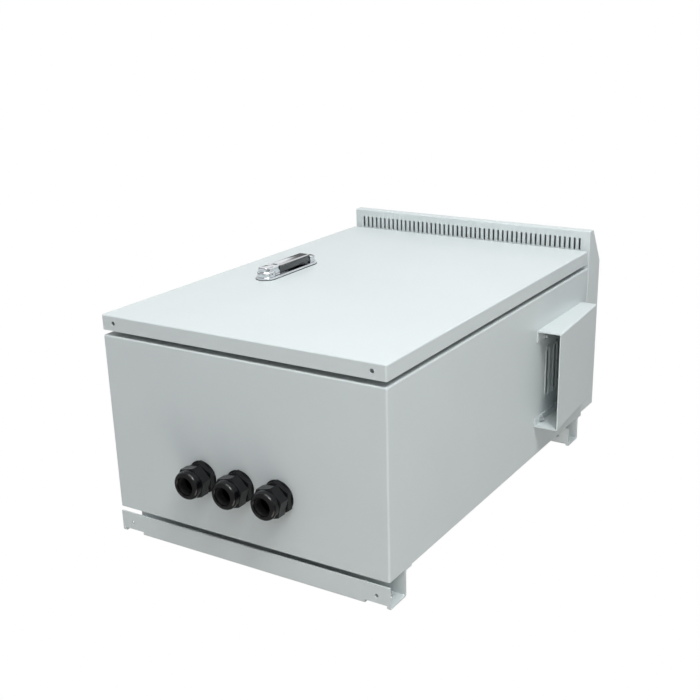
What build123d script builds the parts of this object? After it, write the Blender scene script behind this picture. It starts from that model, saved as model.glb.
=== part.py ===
from build123d import *
import os

# Ventilated wall or pole cabinet of folded sheet steel, in millimetres.
# +X is to the right of someone facing the door, the door faces -Y, +Z is up.
# The wall is the plane y = 0 and the origin is the centre of the four wall slots.
# Depths are measured from the wall towards the door, heights from the underside.

# Body
width = 400.0
body_depth = 230.0
sheet = 1.5
corner_r = 2.5
fold_r = 2.0
rim_width = 21.5
collar_height = 14.0

# Door
door_height = 575.4
door_depth = 19.1
door_gap = 6.7
hood_gap = 6.6
hang_hole_r = 2.8
hang_hole_in = 18.0
hang_hole_back = 9.7
gasket_width = 6.0
gasket_clear = 0.3

# Mounting rails
rail_sheet = 2.0
rail_height = 35.2
rail_width = 37.0
rail_flange = 13.0
rail_gap = 7.0
rail_top_gap = 14.0
rail_fold_r = 3.0
rail_hole_r = 2.4
rail_hole_in = 17.5
rail_hole_up = 14.4
strap_notch = 30.0
strap_notch_in = 4.0
strap_notch_up = 5.0
strap_notch_deep = 8.0
wall_slot_r = 4.5
wall_slot_length = 18.0
wall_slot_up = 23.0
wall_slot_pitch = 360.0
rail_bolt_pitch = 300.0
rail_bolt_r = 2.5
rail_bolt_flats = 8.0
rail_bolt_head = 3.5

# Top hood
hood_height = 46.4
hood_front = 27.6
hood_lip = 14.5
hood_slope = 51.2
hood_back_step = 3.0
hood_flange = 14.0
hood_overlap = 15.0
slot_count = 49
slot_end = 15.7
slot_width = 3.2
slot_length = 17.6
slot_behind_lip = 10.8
hood_bolt_r = 2.5
hood_bolt_in = 25.0

# Side vents and their rain hood
vent_count = 4
vent_pitch = 27.0
vent_rim_length = 75.0
vent_rim_width = 16.0
vent_rim_height = 1.2
vent_rim_border = 3.0
vent_down = 104.5
vent_depth = 149.5
mesh_thick = 0.8
mesh_margin = 5.0
frame_sheet = 1.2
frame_border = 14.0
side_hood_length = 162.0
side_hood_width = 138.5
side_hood_out = 34.3
side_hood_top_out = 23.5
side_hood_door_flange = 16.0
side_hood_wall_flange = 11.0
side_hood_top_flange = 12.0
side_hood_bolt_in = 19.0
side_hood_bolt_wall = 7.0
side_hood_bolt_door = 11.4
side_hood_bolt_r = 2.5
side_hood_stud = 8.0

# Cable glands
gland_count = 3
gland_pitch = 56.0
gland_row_x = -2.5
gland_depth = 107.6
gland_thread_r = 16.0
gland_bore_r = 11.2
gland_flats = 38.0
gland_flange = 8.0
gland_washer = 1.5
gland_cap_flats = 37.0
gland_cap_hex = 12.0
gland_cap_dome = 14.5
gland_cap_mouth_r = 11.6
gland_stem = 14.0
gland_locknut = 6.0
gland_seal_wall = 1.6
gland_seal_squeeze = 0.8
gland_spigot_wall = 1.5
gland_cap_gap = 1.0
gland_cap_lip = 5.0
gland_cap_round = 5.5
gland_corner = 1.6
gland_taper = 7.0

# Hinges
hinge_from_side = 8.0
hinge_from_face = 10.0
hinge_low = 95.0
hinge_down = 102.0
hinge_pin_r = 2.5
hinge_barrel_r = 4.5
hinge_knuckle = 20.0
hinge_sheet = 1.5
leaf_sheet = 2.0
running = 0.05
end_play = 0.3

# Lever lock
lock_from_edge = 76.0
spindle_up = 232.5
lock_length = 123.0
lock_width = 28.0
lock_plate = 3.5
lock_seal = 0.8
boss_r = 12.5
boss_height = 5.5
head_width = 20.0
head_height = 9.2
lever_height = 11.0
lever_width = 19.0
lever_reach = 90.0
lever_pivot = 18.0
lever_pivot_r = 3.2
lever_lug = 7.0
lever_pin_r = 1.25
lever_clear = 1.0
lever_round = 7.5
lug_clear = 0.3
lock_seal_lip = 0.5
lock_plate_edge = 0.8
lock_head_edge = 1.0
catch_height = 8.0
catch_inset = 2.5
catch_slope = 4.0
catch_gap = 1.0
button_width = 13.0
button_length = 17.0
button_proud = 2.6
button_travel = 2.0
button_clear = 0.2
button_seat = 3.0
button_round = 3.0
button_chamfer = 1.2
neck_r = 10.0
neck_length = 14.0
spindle_r = 6.5
spindle_beyond = 6.0
lock_nut_flats = 27.0
lock_nut_thick = 5.0
square = 8.0
cam_screw_r = 2.0
cam_screw_head_r = 7.0
cam_screw_head = 2.5
cam_screw_reach = 6.0
cam_length = 62.0
cam_width = 20.0
cam_sheet = 2.5
cam_clear = 1.7

# Fan
fan_size = 120.0
fan_thick = 38.0
fan_bore_r = 57.5
fan_wall = 2.0
fan_flange = 4.0
fan_hub_r = 20.0
fan_blades = 7
fan_blade_gap = 2.0
fan_blade_thick = 1.6
fan_root_pitch = 42.0
fan_tip_pitch = 26.0
fan_blade_chord = 26.0
fan_spokes = 3
fan_spoke = 6.0
fan_seat = 3.5
fan_shaft_r = 5.0
fan_shaft = 12.0
fan_corner_r = 6.0
fan_end_gap = 1.0
fan_boss = 2.5
fan_cup_round = 2.0
fan_screw_pitch = 105.0
fan_screw_r = 2.0
guard_sheet = 1.5
guard_bar = 2.2
guard_rings = 2
guard_eye_r = 5.0

# Mounting plate and earth stud
plate_side_gap = 35.0
plate_end_gap = 46.0
plate_sheet = 2.0
plate_fold_r = 3.0
plate_flange = 26.0
plate_raise = 12.0
plate_standoff = 15.0
plate_stud_r = 4.0
plate_stud_inset = 18.0
plate_stud_shoulder = 2.0
plate_nut_flats = 13.0
earth_up = 80.0
earth_free = 15.0
earth_relief = 1.0
earth_relief_r = 3.4
nut_ratio = 0.8

# Places worked out from the sizes above
side = width / 2
body_height = door_height + hood_gap
rail_pitch = body_height - rail_width - rail_top_gap
vent_up = body_height - vent_down
back = rail_height
front = back + body_depth
door_back = front + door_gap
door_front = door_back + door_depth
panel_inside = door_front - sheet
collar_front = front + collar_height
gasket_back = collar_front + gasket_clear
base = -(wall_slot_up + rail_pitch / 2)
middle = base + body_height / 2
roof = base + body_height
hinge_x = side - hinge_from_side
hinge_depth = door_front - hinge_from_face
collar_x = side - rim_width


def front_plane(depth):
    """Upright plane at a depth from the wall, facing the door side."""
    return Plane.XZ.offset(depth)


def level(height):
    """Horizontal plane at a height above the underside."""
    return Plane.XY.offset(base + height)


def side_plane(distance):
    """Upright plane at a distance to the right of the middle."""
    return Plane.YZ.offset(distance)


def hexagon(flats, bore_r):
    """Hexagon with a round hole, for the sketch that is open."""
    RegularPolygon(flats / 2, 6, major_radius=False)
    Circle(bore_r, mode=Mode.SUBTRACT)


def save(piece, name):
    """Name a finished piece and write its file."""
    piece.part.label = name
    export_step(piece.part, "parts/" + name + ".step")


# Body: four walls folded from one sheet, with a flat rim and a rain collar in front
vent_places = [(-vent_depth, base + vent_up + (n - (vent_count - 1) / 2) * vent_pitch)
               for n in range(vent_count)]
fan_depth = back + body_depth / 2
gland_places = [(gland_row_x + (n - (gland_count - 1) / 2) * gland_pitch, -gland_depth)
                for n in range(gland_count)]
hood_bolt_x = side - sheet - hood_flange / 2
hood_bolt_places = [(x, -depth) for x in (-hood_bolt_x, hood_bolt_x)
                    for depth in (back + hood_bolt_in, front - hood_bolt_in)]
fan_screw_places = [(x * fan_screw_pitch / 2, -fan_depth + y * fan_screw_pitch / 2)
                    for x in (-1, 1) for y in (-1, 1)]

with BuildPart() as body_wrap:
    with BuildSketch(front_plane(back)):
        with Locations((0, middle)):
            RectangleRounded(width, body_height, corner_r)
    extrude(amount=body_depth)
    fillet(body_wrap.edges().group_by(Axis.Y)[0], fold_r)
    with BuildSketch(front_plane(back)):
        with Locations((0, middle)):
            RectangleRounded(width - 2 * sheet, body_height - 2 * sheet, corner_r - sheet)
    extrude(amount=body_depth - sheet, mode=Mode.SUBTRACT)
    with BuildSketch(front_plane(front - sheet)):
        with Locations((0, middle)):
            Rectangle(width - 2 * rim_width, body_height - 2 * rim_width)
    extrude(amount=sheet + collar_height)
    with BuildSketch(front_plane(front - sheet)):
        with Locations((0, middle)):
            Rectangle(width - 2 * (rim_width + sheet), body_height - 2 * (rim_width + sheet))
    extrude(amount=sheet + collar_height, mode=Mode.SUBTRACT)
    # raised rims of the side vents, then the vents through the wall
    with BuildSketch(side_plane(side)):
        with Locations(*vent_places):
            SlotOverall(vent_rim_length, vent_rim_width)
    extrude(amount=vent_rim_height)
    with BuildSketch(side_plane(side - sheet)):
        with Locations(*vent_places):
            SlotOverall(vent_rim_length - 2 * vent_rim_border, vent_rim_width - 2 * vent_rim_border)
    extrude(amount=sheet + vent_rim_height, mode=Mode.SUBTRACT)
    # roof: fan opening, fan screws and hood bolts
    with BuildSketch(level(body_height - sheet)):
        with Locations((0, -fan_depth)):
            Circle(fan_bore_r)
        with Locations(*fan_screw_places):
            Circle(fan_screw_r + running)
        with Locations(*hood_bolt_places):
            Circle(hood_bolt_r + running)
    extrude(amount=sheet, mode=Mode.SUBTRACT)
    # floor: cable gland holes
    with BuildSketch(level(0)):
        with Locations(*gland_places):
            Circle(gland_thread_r + running)
    extrude(amount=sheet, mode=Mode.SUBTRACT)
save(body_wrap, "body_wrap")

# Back sheet, welded inside the walls
rail_bolt_up = rail_width + rail_fold_r + rail_bolt_flats / 2
rail_bolt_places = [(x * rail_bolt_pitch / 2, base + n * rail_pitch + rail_bolt_up)
                    for x in (-1, 1) for n in (0, 1)]
with BuildPart() as back_panel:
    with BuildSketch(front_plane(back)):
        with Locations((0, middle)):
            RectangleRounded(width - 2 * sheet, body_height - 2 * sheet, corner_r - sheet)
        with Locations(*rail_bolt_places):
            Circle(rail_bolt_r + running, mode=Mode.SUBTRACT)
    extrude(amount=sheet)
save(back_panel, "back_panel")

# Mounting rails: open channels with a short outer wall, a floor on the wall and
# an inner wall whose flange is bolted to the back sheet
for n, name in enumerate(("lower_rail", "upper_rail")):
    with BuildPart() as rail:
        foot = base + n * rail_pitch
        with BuildSketch(Plane.YZ.offset(-side)):
            with BuildLine():
                FilletPolyline(
                    (-(rail_height - rail_gap), foot),
                    (0, foot),
                    (0, foot + rail_width),
                    (-(rail_height - rail_sheet), foot + rail_width),
                    (-(rail_height - rail_sheet), foot + rail_width + rail_flange),
                    radius=rail_fold_r)
                offset(amount=rail_sheet, side=Side.LEFT)
            make_face()
        extrude(amount=width)
        # slots for the wall bolts, small hanging holes and notches for straps
        with BuildSketch(Plane.XZ):
            with Locations((-wall_slot_pitch / 2, foot + wall_slot_up),
                           (wall_slot_pitch / 2, foot + wall_slot_up)):
                SlotOverall(wall_slot_length, 2 * wall_slot_r)
        extrude(amount=rail_sheet, mode=Mode.SUBTRACT)
        with BuildSketch(Plane.XY.offset(foot)):
            with Locations((-side + rail_hole_in, -rail_hole_up), (side - rail_hole_in, -rail_hole_up)):
                Circle(rail_hole_r)
        extrude(amount=rail_sheet, mode=Mode.SUBTRACT)
        notch_x = side - strap_notch_in - strap_notch / 2
        with BuildSketch(Plane.XZ):
            with Locations((-notch_x, foot + strap_notch_deep / 2), (notch_x, foot + strap_notch_deep / 2)):
                Rectangle(strap_notch, strap_notch_deep)
        extrude(amount=strap_notch_up, mode=Mode.SUBTRACT)
        with BuildSketch(front_plane(rail_height - rail_sheet)):
            with Locations(*rail_bolt_places):
                Circle(rail_bolt_r + running)
        extrude(amount=rail_sheet, mode=Mode.SUBTRACT)
    save(rail, name)

with BuildPart() as rail_bolts:
    with BuildSketch(front_plane(back - rail_sheet - rail_bolt_head)):
        with Locations(*rail_bolt_places):
            RegularPolygon(rail_bolt_flats / 2, 6, major_radius=False)
    extrude(amount=rail_bolt_head)
    with BuildSketch(front_plane(back - rail_sheet)):
        with Locations(*rail_bolt_places):
            Circle(rail_bolt_r)
    extrude(amount=rail_sheet + sheet + 2 * rail_bolt_r * nut_ratio + rail_bolt_r)
save(rail_bolts, "rail_bolts")

with BuildPart() as rail_nuts:
    with BuildSketch(front_plane(back + sheet)):
        with Locations(*rail_bolt_places):
            hexagon(rail_bolt_flats, rail_bolt_r + running)
    extrude(amount=2 * rail_bolt_r * nut_ratio)
save(rail_nuts, "rail_nuts")

# Top hood: a folded cover whose slotted underside overhangs the door
hood_back = back + hood_back_step
hood_tip = door_front + hood_front
hood_ridge = hood_tip - hood_slope
hood_floor = front - hood_overlap
slot_depth = hood_tip - slot_behind_lip - slot_length / 2
slot_pitch = (width - 2 * slot_end) / (slot_count - 1)
with BuildPart() as top_hood:
    with BuildSketch(Plane.YZ.offset(-side)):
        Polygon(
            (-hood_back, roof),
            (-hood_tip, roof),
            (-hood_tip, roof + hood_lip),
            (-hood_ridge, roof + hood_height),
            (-hood_back, roof + hood_height),
            align=None)
    extrude(amount=width)
    fillet(top_hood.edges().filter_by(Axis.X), fold_r)
    fillet(top_hood.faces().filter_by(Axis.X).edges().sort_by(Axis.Z)[2:], sheet)
    with BuildSketch(Plane.YZ.offset(-side + sheet)):
        with BuildLine():
            Polyline(
                (-hood_back, roof),
                (-hood_tip, roof),
                (-hood_tip, roof + hood_lip),
                (-hood_ridge, roof + hood_height),
                (-hood_back, roof + hood_height),
                close=True)
            offset(amount=-sheet, kind=Kind.INTERSECTION)
        make_face()
    extrude(amount=width - 2 * sheet, mode=Mode.SUBTRACT)
    with BuildSketch(level(body_height)):
        with Locations((0, -(hood_back + hood_flange + hood_floor) / 2)):
            Rectangle(width - 2 * sheet - 2 * hood_flange, hood_floor - hood_back - hood_flange)
        with Locations(*hood_bolt_places):
            Circle(hood_bolt_r + running)
        with Locations((0, -slot_depth)):
            with GridLocations(slot_pitch, 0, slot_count, 1):
                SlotOverall(slot_length, slot_width, rotation=90)
    extrude(amount=sheet, mode=Mode.SUBTRACT)
save(top_hood, "top_hood")

hood_nut = 2 * hood_bolt_r * nut_ratio
with BuildPart() as hood_bolts:
    with BuildSketch(level(body_height - sheet)):
        with Locations(*hood_bolt_places):
            Circle(2 * hood_bolt_r)
    extrude(amount=-hood_bolt_r)
    with BuildSketch(level(body_height - sheet)):
        with Locations(*hood_bolt_places):
            Circle(hood_bolt_r)
    extrude(amount=2 * sheet + hood_nut + hood_bolt_r)
save(hood_bolts, "hood_bolts")

with BuildPart() as hood_nuts:
    with BuildSketch(level(body_height + sheet)):
        with Locations(*hood_bolt_places):
            hexagon(4 * hood_bolt_r * nut_ratio, hood_bolt_r + running)
    extrude(amount=hood_nut)
save(hood_nuts, "hood_nuts")

# Side rain hood: open below, its outer face leans in towards the top
side_hood_near = vent_depth - side_hood_width / 2
side_hood_bottom = vent_up - side_hood_length / 2
side_hood_top = vent_up + side_hood_length / 2
side_bolt_places = [(-depth, base + height)
                    for depth in (side_hood_near + side_hood_bolt_wall,
                                  side_hood_near + side_hood_width - side_hood_bolt_door)
                    for height in (side_hood_bottom + side_hood_bolt_in,
                                   side_hood_top - side_hood_bolt_in)]
with BuildPart() as side_hood:
    with BuildSketch(front_plane(side_hood_near)):
        Polygon(
            (side, base + side_hood_bottom),
            (side + side_hood_out, base + side_hood_bottom),
            (side + side_hood_top_out, base + side_hood_top),
            (side, base + side_hood_top),
            align=None)
    extrude(amount=side_hood_width)
    outer_face = side_hood.faces().sort_by(Axis.X)[-1]
    fillet(outer_face.edges().sort_by(Axis.Z)[1:], fold_r)
    with BuildSketch(front_plane(side_hood_near + sheet)):
        Polygon(
            (side + sheet, base + side_hood_bottom),
            (side + side_hood_out - sheet, base + side_hood_bottom),
            (side + side_hood_top_out - sheet, base + side_hood_top - sheet),
            (side + sheet, base + side_hood_top - sheet),
            align=None)
    extrude(amount=side_hood_width - 2 * sheet, mode=Mode.SUBTRACT)
    opening_near = side_hood_near + side_hood_wall_flange
    opening_far = side_hood_near + side_hood_width - side_hood_door_flange
    with BuildSketch(side_plane(side)):
        with Locations((-(opening_near + opening_far) / 2,
                        base + (side_hood_bottom + side_hood_top - side_hood_top_flange) / 2)):
            Rectangle(opening_far - opening_near, side_hood_length - side_hood_top_flange)
        with Locations(*side_bolt_places):
            Circle(side_hood_bolt_r + running)
    extrude(amount=sheet, mode=Mode.SUBTRACT)
save(side_hood, "side_hood")

with BuildPart() as side_hood_studs:
    with BuildSketch(side_plane(side)):
        with Locations(*side_bolt_places):
            Circle(side_hood_bolt_r)
    extrude(amount=side_hood_stud)
save(side_hood_studs, "side_hood_studs")

with BuildPart() as side_hood_nuts:
    with BuildSketch(side_plane(side + sheet)):
        with Locations(*side_bolt_places):
            hexagon(4 * side_hood_bolt_r * nut_ratio, side_hood_bolt_r + running)
    extrude(amount=2 * side_hood_bolt_r * nut_ratio)
save(side_hood_nuts, "side_hood_nuts")

# Insect mesh behind the side vents, held by a frame on four studs
vents_tall = (vent_count - 1) * vent_pitch + vent_rim_width
mesh_wide = vent_rim_length + 2 * mesh_margin
mesh_tall = vents_tall + 2 * mesh_margin
vent_centre = (-vent_depth, base + vent_up)
frame_wide = mesh_wide + 2 * frame_border
frame_tall = mesh_tall
frame_stud_places = [(-vent_depth + x * (mesh_wide + frame_border) / 2,
                      base + vent_up + z * (mesh_tall - frame_border) / 2)
                     for x in (-1, 1) for z in (-1, 1)]
with BuildPart() as vent_mesh:
    with BuildSketch(side_plane(side - sheet)):
        with Locations(vent_centre):
            Rectangle(mesh_wide, mesh_tall)
    extrude(amount=-mesh_thick)
save(vent_mesh, "vent_mesh")

with BuildPart() as vent_frame:
    with BuildSketch(side_plane(side - sheet)):
        with Locations(vent_centre):
            Rectangle(frame_wide, frame_tall)
            Rectangle(mesh_wide, frame_tall, mode=Mode.SUBTRACT)
    extrude(amount=-(mesh_thick + frame_sheet))
    with BuildSketch(side_plane(side - sheet - mesh_thick)):
        with Locations(vent_centre):
            Rectangle(frame_wide, frame_tall)
            Rectangle(vent_rim_length, vents_tall, mode=Mode.SUBTRACT)
    extrude(amount=-frame_sheet)
    with BuildSketch(side_plane(side - sheet)):
        with Locations(*frame_stud_places):
            Circle(fan_screw_r + running)
    extrude(amount=-(mesh_thick + frame_sheet), mode=Mode.SUBTRACT)
save(vent_frame, "vent_frame")

vent_nut = 2 * fan_screw_r * nut_ratio
with BuildPart() as vent_studs:
    with BuildSketch(side_plane(side - sheet)):
        with Locations(*frame_stud_places):
            Circle(fan_screw_r)
    extrude(amount=-(mesh_thick + frame_sheet + vent_nut + fan_screw_r))
save(vent_studs, "vent_studs")

with BuildPart() as vent_nuts:
    with BuildSketch(side_plane(side - sheet - mesh_thick - frame_sheet)):
        with Locations(*frame_stud_places):
            hexagon(4 * fan_screw_r * nut_ratio, fan_screw_r + running)
    extrude(amount=-vent_nut)
save(vent_nuts, "vent_nuts")

# Cable glands below the floor: seal washer, threaded body, rubber seal, domed cap
# nut and the locknut inside
spigot_r = gland_bore_r + gland_seal_wall + gland_spigot_wall
cap_low = -(gland_washer + gland_flange + gland_cap_gap)
cap_end = cap_low - gland_cap_hex - gland_cap_dome
spigot_end = cap_end + gland_cap_lip
dome_r = gland_cap_flats / 2 - running
for n, (gland_x, gland_y) in enumerate(gland_places, start=1):
    centre = (gland_x, gland_y)
    with BuildPart() as gland_washer_ring:
        with BuildSketch(level(0)):
            with Locations(centre):
                Circle(gland_flats / 2 + gland_corner)
                Circle(gland_thread_r + running, mode=Mode.SUBTRACT)
        extrude(amount=-gland_washer)
    save(gland_washer_ring, f"gland_{n}_washer")

    with BuildPart() as gland_body:
        with BuildSketch(level(-gland_washer - gland_flange)):
            with Locations(centre):
                RegularPolygon(gland_flats / 2, 6, major_radius=False, rotation=30)
        extrude(amount=gland_flange)
        with BuildSketch(level(-gland_washer - gland_flange)):
            with Locations(centre):
                Circle(gland_flats / 2 + gland_corner)
        extrude(amount=gland_flange, taper=-gland_taper, mode=Mode.INTERSECT)
        with BuildSketch(level(-gland_washer)):
            with Locations(centre):
                Circle(gland_thread_r)
        extrude(amount=gland_washer + gland_stem)
        with BuildSketch(level(spigot_end)):
            with Locations(centre):
                Circle(spigot_r)
        extrude(amount=-gland_washer - spigot_end)
        with BuildSketch(level(spigot_end)):
            with Locations(centre):
                Circle(gland_bore_r)
        extrude(amount=gland_stem - spigot_end, mode=Mode.SUBTRACT)
        with BuildSketch(level(spigot_end)):
            with Locations(centre):
                Circle(gland_bore_r + gland_seal_wall)
        extrude(amount=gland_cap_hex, mode=Mode.SUBTRACT)
    save(gland_body, f"gland_{n}_body")

    with BuildPart() as gland_seal:
        with BuildSketch(level(spigot_end)):
            with Locations(centre):
                Circle(gland_bore_r + gland_seal_wall - running)
                Circle(gland_bore_r - gland_seal_squeeze, mode=Mode.SUBTRACT)
        extrude(amount=gland_cap_hex)
    save(gland_seal, f"gland_{n}_seal")

    with BuildPart() as gland_cap:
        with BuildSketch(level(cap_low - gland_cap_hex)):
            with Locations(centre):
                RegularPolygon(gland_cap_flats / 2, 6, major_radius=False)
        extrude(amount=gland_cap_hex)
        with BuildSketch(level(cap_low - gland_cap_hex)):
            with Locations(centre):
                Circle(gland_cap_flats / 2 + gland_corner)
        extrude(amount=gland_cap_hex, taper=-gland_taper, mode=Mode.INTERSECT)
        with BuildSketch(level(cap_low - gland_cap_hex)):
            with Locations(centre):
                Circle(dome_r)
        extrude(amount=-gland_cap_dome)
        fillet(gland_cap.edges().group_by(Axis.Z)[0], gland_cap_round)
        with BuildSketch(level(cap_low)):
            with Locations(centre):
                Circle(spigot_r + running)
        extrude(amount=spigot_end - end_play - cap_low, mode=Mode.SUBTRACT)
        with BuildSketch(level(spigot_end)):
            with Locations(centre):
                Circle(gland_cap_mouth_r)
        extrude(amount=cap_end - spigot_end, mode=Mode.SUBTRACT)
    save(gland_cap, f"gland_{n}_cap")

    with BuildPart() as gland_nut:
        with BuildSketch(level(sheet)):
            with Locations(centre):
                hexagon(gland_flats, gland_thread_r + running)
        extrude(amount=gland_locknut)
    save(gland_nut, f"gland_{n}_locknut")

# Door: a folded pan with a rubber gasket that meets the collar
lock_x = -side + lock_from_edge
lock_z = base + spindle_up
lock_centre_z = lock_z + (lock_length - lock_width) / 2
with BuildPart() as door:
    with BuildSketch(front_plane(door_back)):
        with Locations((0, base + door_height / 2)):
            RectangleRounded(width, door_height, corner_r)
    extrude(amount=door_depth)
    fillet(door.edges().group_by(Axis.Y)[0], fold_r)
    with BuildSketch(front_plane(door_back)):
        with Locations((0, base + door_height / 2)):
            RectangleRounded(width - 2 * sheet, door_height - 2 * sheet, corner_r - sheet)
    extrude(amount=door_depth - sheet, mode=Mode.SUBTRACT)
    with BuildSketch(level(0)):
        with Locations((-side + hang_hole_in, -(door_front - hang_hole_back)),
                       (side - hang_hole_in, -(door_front - hang_hole_back))):
            Circle(hang_hole_r)
    extrude(amount=sheet, mode=Mode.SUBTRACT)
    with BuildSketch(front_plane(panel_inside)):
        with Locations((lock_x, lock_z)):
            Circle(neck_r + running)
    extrude(amount=sheet, mode=Mode.SUBTRACT)
save(door, "door")

gasket_reach = rim_width + sheet / 2
with BuildPart() as door_gasket:
    with BuildSketch(front_plane(gasket_back)):
        with Locations((0, middle)):
            Rectangle(width - 2 * gasket_reach + gasket_width, body_height - 2 * gasket_reach + gasket_width)
            Rectangle(width - 2 * gasket_reach - gasket_width, body_height - 2 * gasket_reach - gasket_width,
                      mode=Mode.SUBTRACT)
    extrude(amount=panel_inside - gasket_back)
save(door_gasket, "door_gasket")

# Hinges inside the right edge: a bracket on the collar, a leaf on the door, a pin
arm_front = collar_front
leaf_inner = collar_x + gasket_width
for n, hinge_up in enumerate((hinge_low, body_height - hinge_down), start=1):
    hinge_middle = level(hinge_up - hinge_knuckle / 2)
    with BuildPart() as bracket:
        with BuildSketch(hinge_middle):
            with Locations((hinge_x, -hinge_depth)):
                Circle(hinge_barrel_r)
            with Locations(((collar_x + hinge_x) / 2, -(arm_front - hinge_sheet / 2))):
                Rectangle(hinge_x - collar_x, hinge_sheet)
            with Locations((collar_x + hinge_sheet / 2, -(front + arm_front) / 2)):
                Rectangle(hinge_sheet, arm_front - front)
            with Locations((hinge_x, -hinge_depth)):
                Circle(hinge_pin_r + running, mode=Mode.SUBTRACT)
        extrude(amount=hinge_knuckle)
    save(bracket, f"hinge_bracket_{n}")

    with BuildPart() as leaf:
        with BuildSketch(level(hinge_up - 3 * hinge_knuckle / 2)):
            with Locations(((leaf_inner + side - sheet) / 2, -(panel_inside - leaf_sheet / 2))):
                Rectangle(side - sheet - leaf_inner, leaf_sheet)
        extrude(amount=3 * hinge_knuckle)
        for low in (hinge_up - hinge_knuckle, hinge_up + hinge_knuckle / 2 + end_play):
            with BuildSketch(level(low)):
                with Locations((hinge_x, -hinge_depth)):
                    Circle(hinge_barrel_r)
                with Locations((hinge_x, -(hinge_depth + panel_inside) / 2)):
                    Rectangle(hinge_barrel_r, panel_inside - hinge_depth)
                with Locations((hinge_x, -hinge_depth)):
                    Circle(hinge_pin_r + running, mode=Mode.SUBTRACT)
            extrude(amount=hinge_knuckle / 2 - end_play)
    save(leaf, f"hinge_leaf_{n}")

    with BuildPart() as pin:
        with BuildSketch(level(hinge_up - hinge_knuckle)):
            with Locations((hinge_x, -hinge_depth)):
                Circle(hinge_pin_r)
        extrude(amount=2 * hinge_knuckle)
        with BuildSketch(level(hinge_up + hinge_knuckle)):
            with Locations((hinge_x, -hinge_depth)):
                Circle(hinge_barrel_r)
        extrude(amount=hinge_sheet)
    save(pin, f"hinge_pin_{n}")

# Lever lock: seal, base plate, turning head, lifting lever, push button and cam
plate_back = door_front + lock_seal
plate_front = plate_back + lock_plate
lever_back = plate_front + lever_clear
lever_front = plate_front + lever_height
pivot_depth = lever_front - lever_pivot_r
pivot_z = lock_z + lever_pivot
cam_front = front - sheet - cam_clear
cam_back = cam_front - cam_sheet
spindle_back = plate_back - neck_length - spindle_beyond
lever_start = lever_pivot + lever_pivot_r + lug_clear
with BuildPart() as lock_gasket:
    with BuildSketch(front_plane(door_front)):
        with Locations((lock_x, lock_centre_z)):
            SlotOverall(lock_length + 2 * lock_seal_lip, lock_width + 2 * lock_seal_lip, rotation=90)
        with Locations((lock_x, lock_z)):
            Circle(neck_r + running, mode=Mode.SUBTRACT)
    extrude(amount=lock_seal)
save(lock_gasket, "lock_gasket")

with BuildPart() as lock_base:
    with BuildSketch(front_plane(plate_back)):
        with Locations((lock_x, lock_centre_z)):
            SlotOverall(lock_length, lock_width, rotation=90)
    extrude(amount=lock_plate)
    chamfer(lock_base.edges().group_by(Axis.Y)[0], lock_plate_edge)
    # wedge that the lever's end lies against, its face curved about the spindle
    with BuildSketch(front_plane(plate_back)):
        with Locations((lock_x, lock_centre_z)):
            SlotOverall(lock_length - 2 * catch_inset, lever_width, rotation=90)
        with Locations((lock_x, lock_z)):
            Circle(lever_reach + catch_gap, mode=Mode.SUBTRACT)
        with Locations((lock_x, lock_z - lever_reach / 2)):
            Rectangle(lock_width, lever_reach, mode=Mode.SUBTRACT)
    extrude(amount=lock_plate + catch_height)
    chamfer(lock_base.edges().group_by(Axis.Y)[0].sort_by(Axis.Z)[-1:], catch_slope)
    with BuildSketch(front_plane(plate_back)):
        with Locations((lock_x, lock_z)):
            Circle(neck_r)
    extrude(amount=-neck_length)
    with BuildSketch(front_plane(plate_back - neck_length)):
        with Locations((lock_x, lock_z)):
            Circle(spindle_r + running)
    extrude(amount=neck_length + lock_plate, mode=Mode.SUBTRACT)
save(lock_base, "lock_base")

with BuildPart() as lock_nut:
    with BuildSketch(front_plane(panel_inside)):
        with Locations((lock_x, lock_z)):
            hexagon(lock_nut_flats, neck_r + running)
    extrude(amount=-lock_nut_thick)
save(lock_nut, "lock_nut")

head_front = plate_front + head_height
head_low = -head_width / 2
head_high = lever_pivot - lever_pivot_r - lug_clear
with BuildPart() as lock_head:
    with BuildSketch(front_plane(plate_front + running)):
        with Locations((lock_x, lock_z)):
            Circle(boss_r)
    extrude(amount=boss_height)
    fillet(lock_head.edges().group_by(Axis.Y)[0], lock_head_edge)
    with BuildSketch(front_plane(plate_front + running)):
        with Locations((lock_x, lock_z + (head_low + head_high) / 2)):
            RectangleRounded(head_width, head_high - head_low, button_round)
    extrude(amount=head_height - running)
    chamfer(lock_head.edges().group_by(Axis.Y)[0], lock_head_edge)
    with BuildSketch(Plane.YZ.offset(lock_x - lever_lug / 2)):
        with Locations((-pivot_depth, pivot_z)):
            Circle(lever_pivot_r - lug_clear)
        with Locations((-(pivot_depth - lever_pivot_r / 2), pivot_z - lever_pivot_r)):
            Rectangle(lever_pivot_r, 2 * lever_pivot_r)
        with Locations((-pivot_depth, pivot_z)):
            Circle(lever_pin_r + running, mode=Mode.SUBTRACT)
    extrude(amount=lever_lug)
    with BuildSketch(front_plane(spindle_back)):
        with Locations((lock_x, lock_z)):
            Circle(spindle_r)
    extrude(amount=plate_front + boss_height / 2 - spindle_back)
    with BuildSketch(front_plane(cam_back)):
        with Locations((lock_x, lock_z)):
            Rectangle(square, square)
    extrude(amount=spindle_back - cam_back)
    with BuildSketch(front_plane(cam_back)):
        with Locations((lock_x, lock_z)):
            Circle(cam_screw_r + running)
    extrude(amount=cam_screw_reach + end_play, mode=Mode.SUBTRACT)
    with BuildSketch(front_plane(head_front)):
        with Locations((lock_x, lock_z)):
            RectangleRounded(button_width + 2 * button_clear, button_length + 2 * button_clear,
                             button_round + button_clear)
    extrude(amount=-(button_seat + button_travel + end_play), mode=Mode.SUBTRACT)
save(lock_head, "lock_head")

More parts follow.
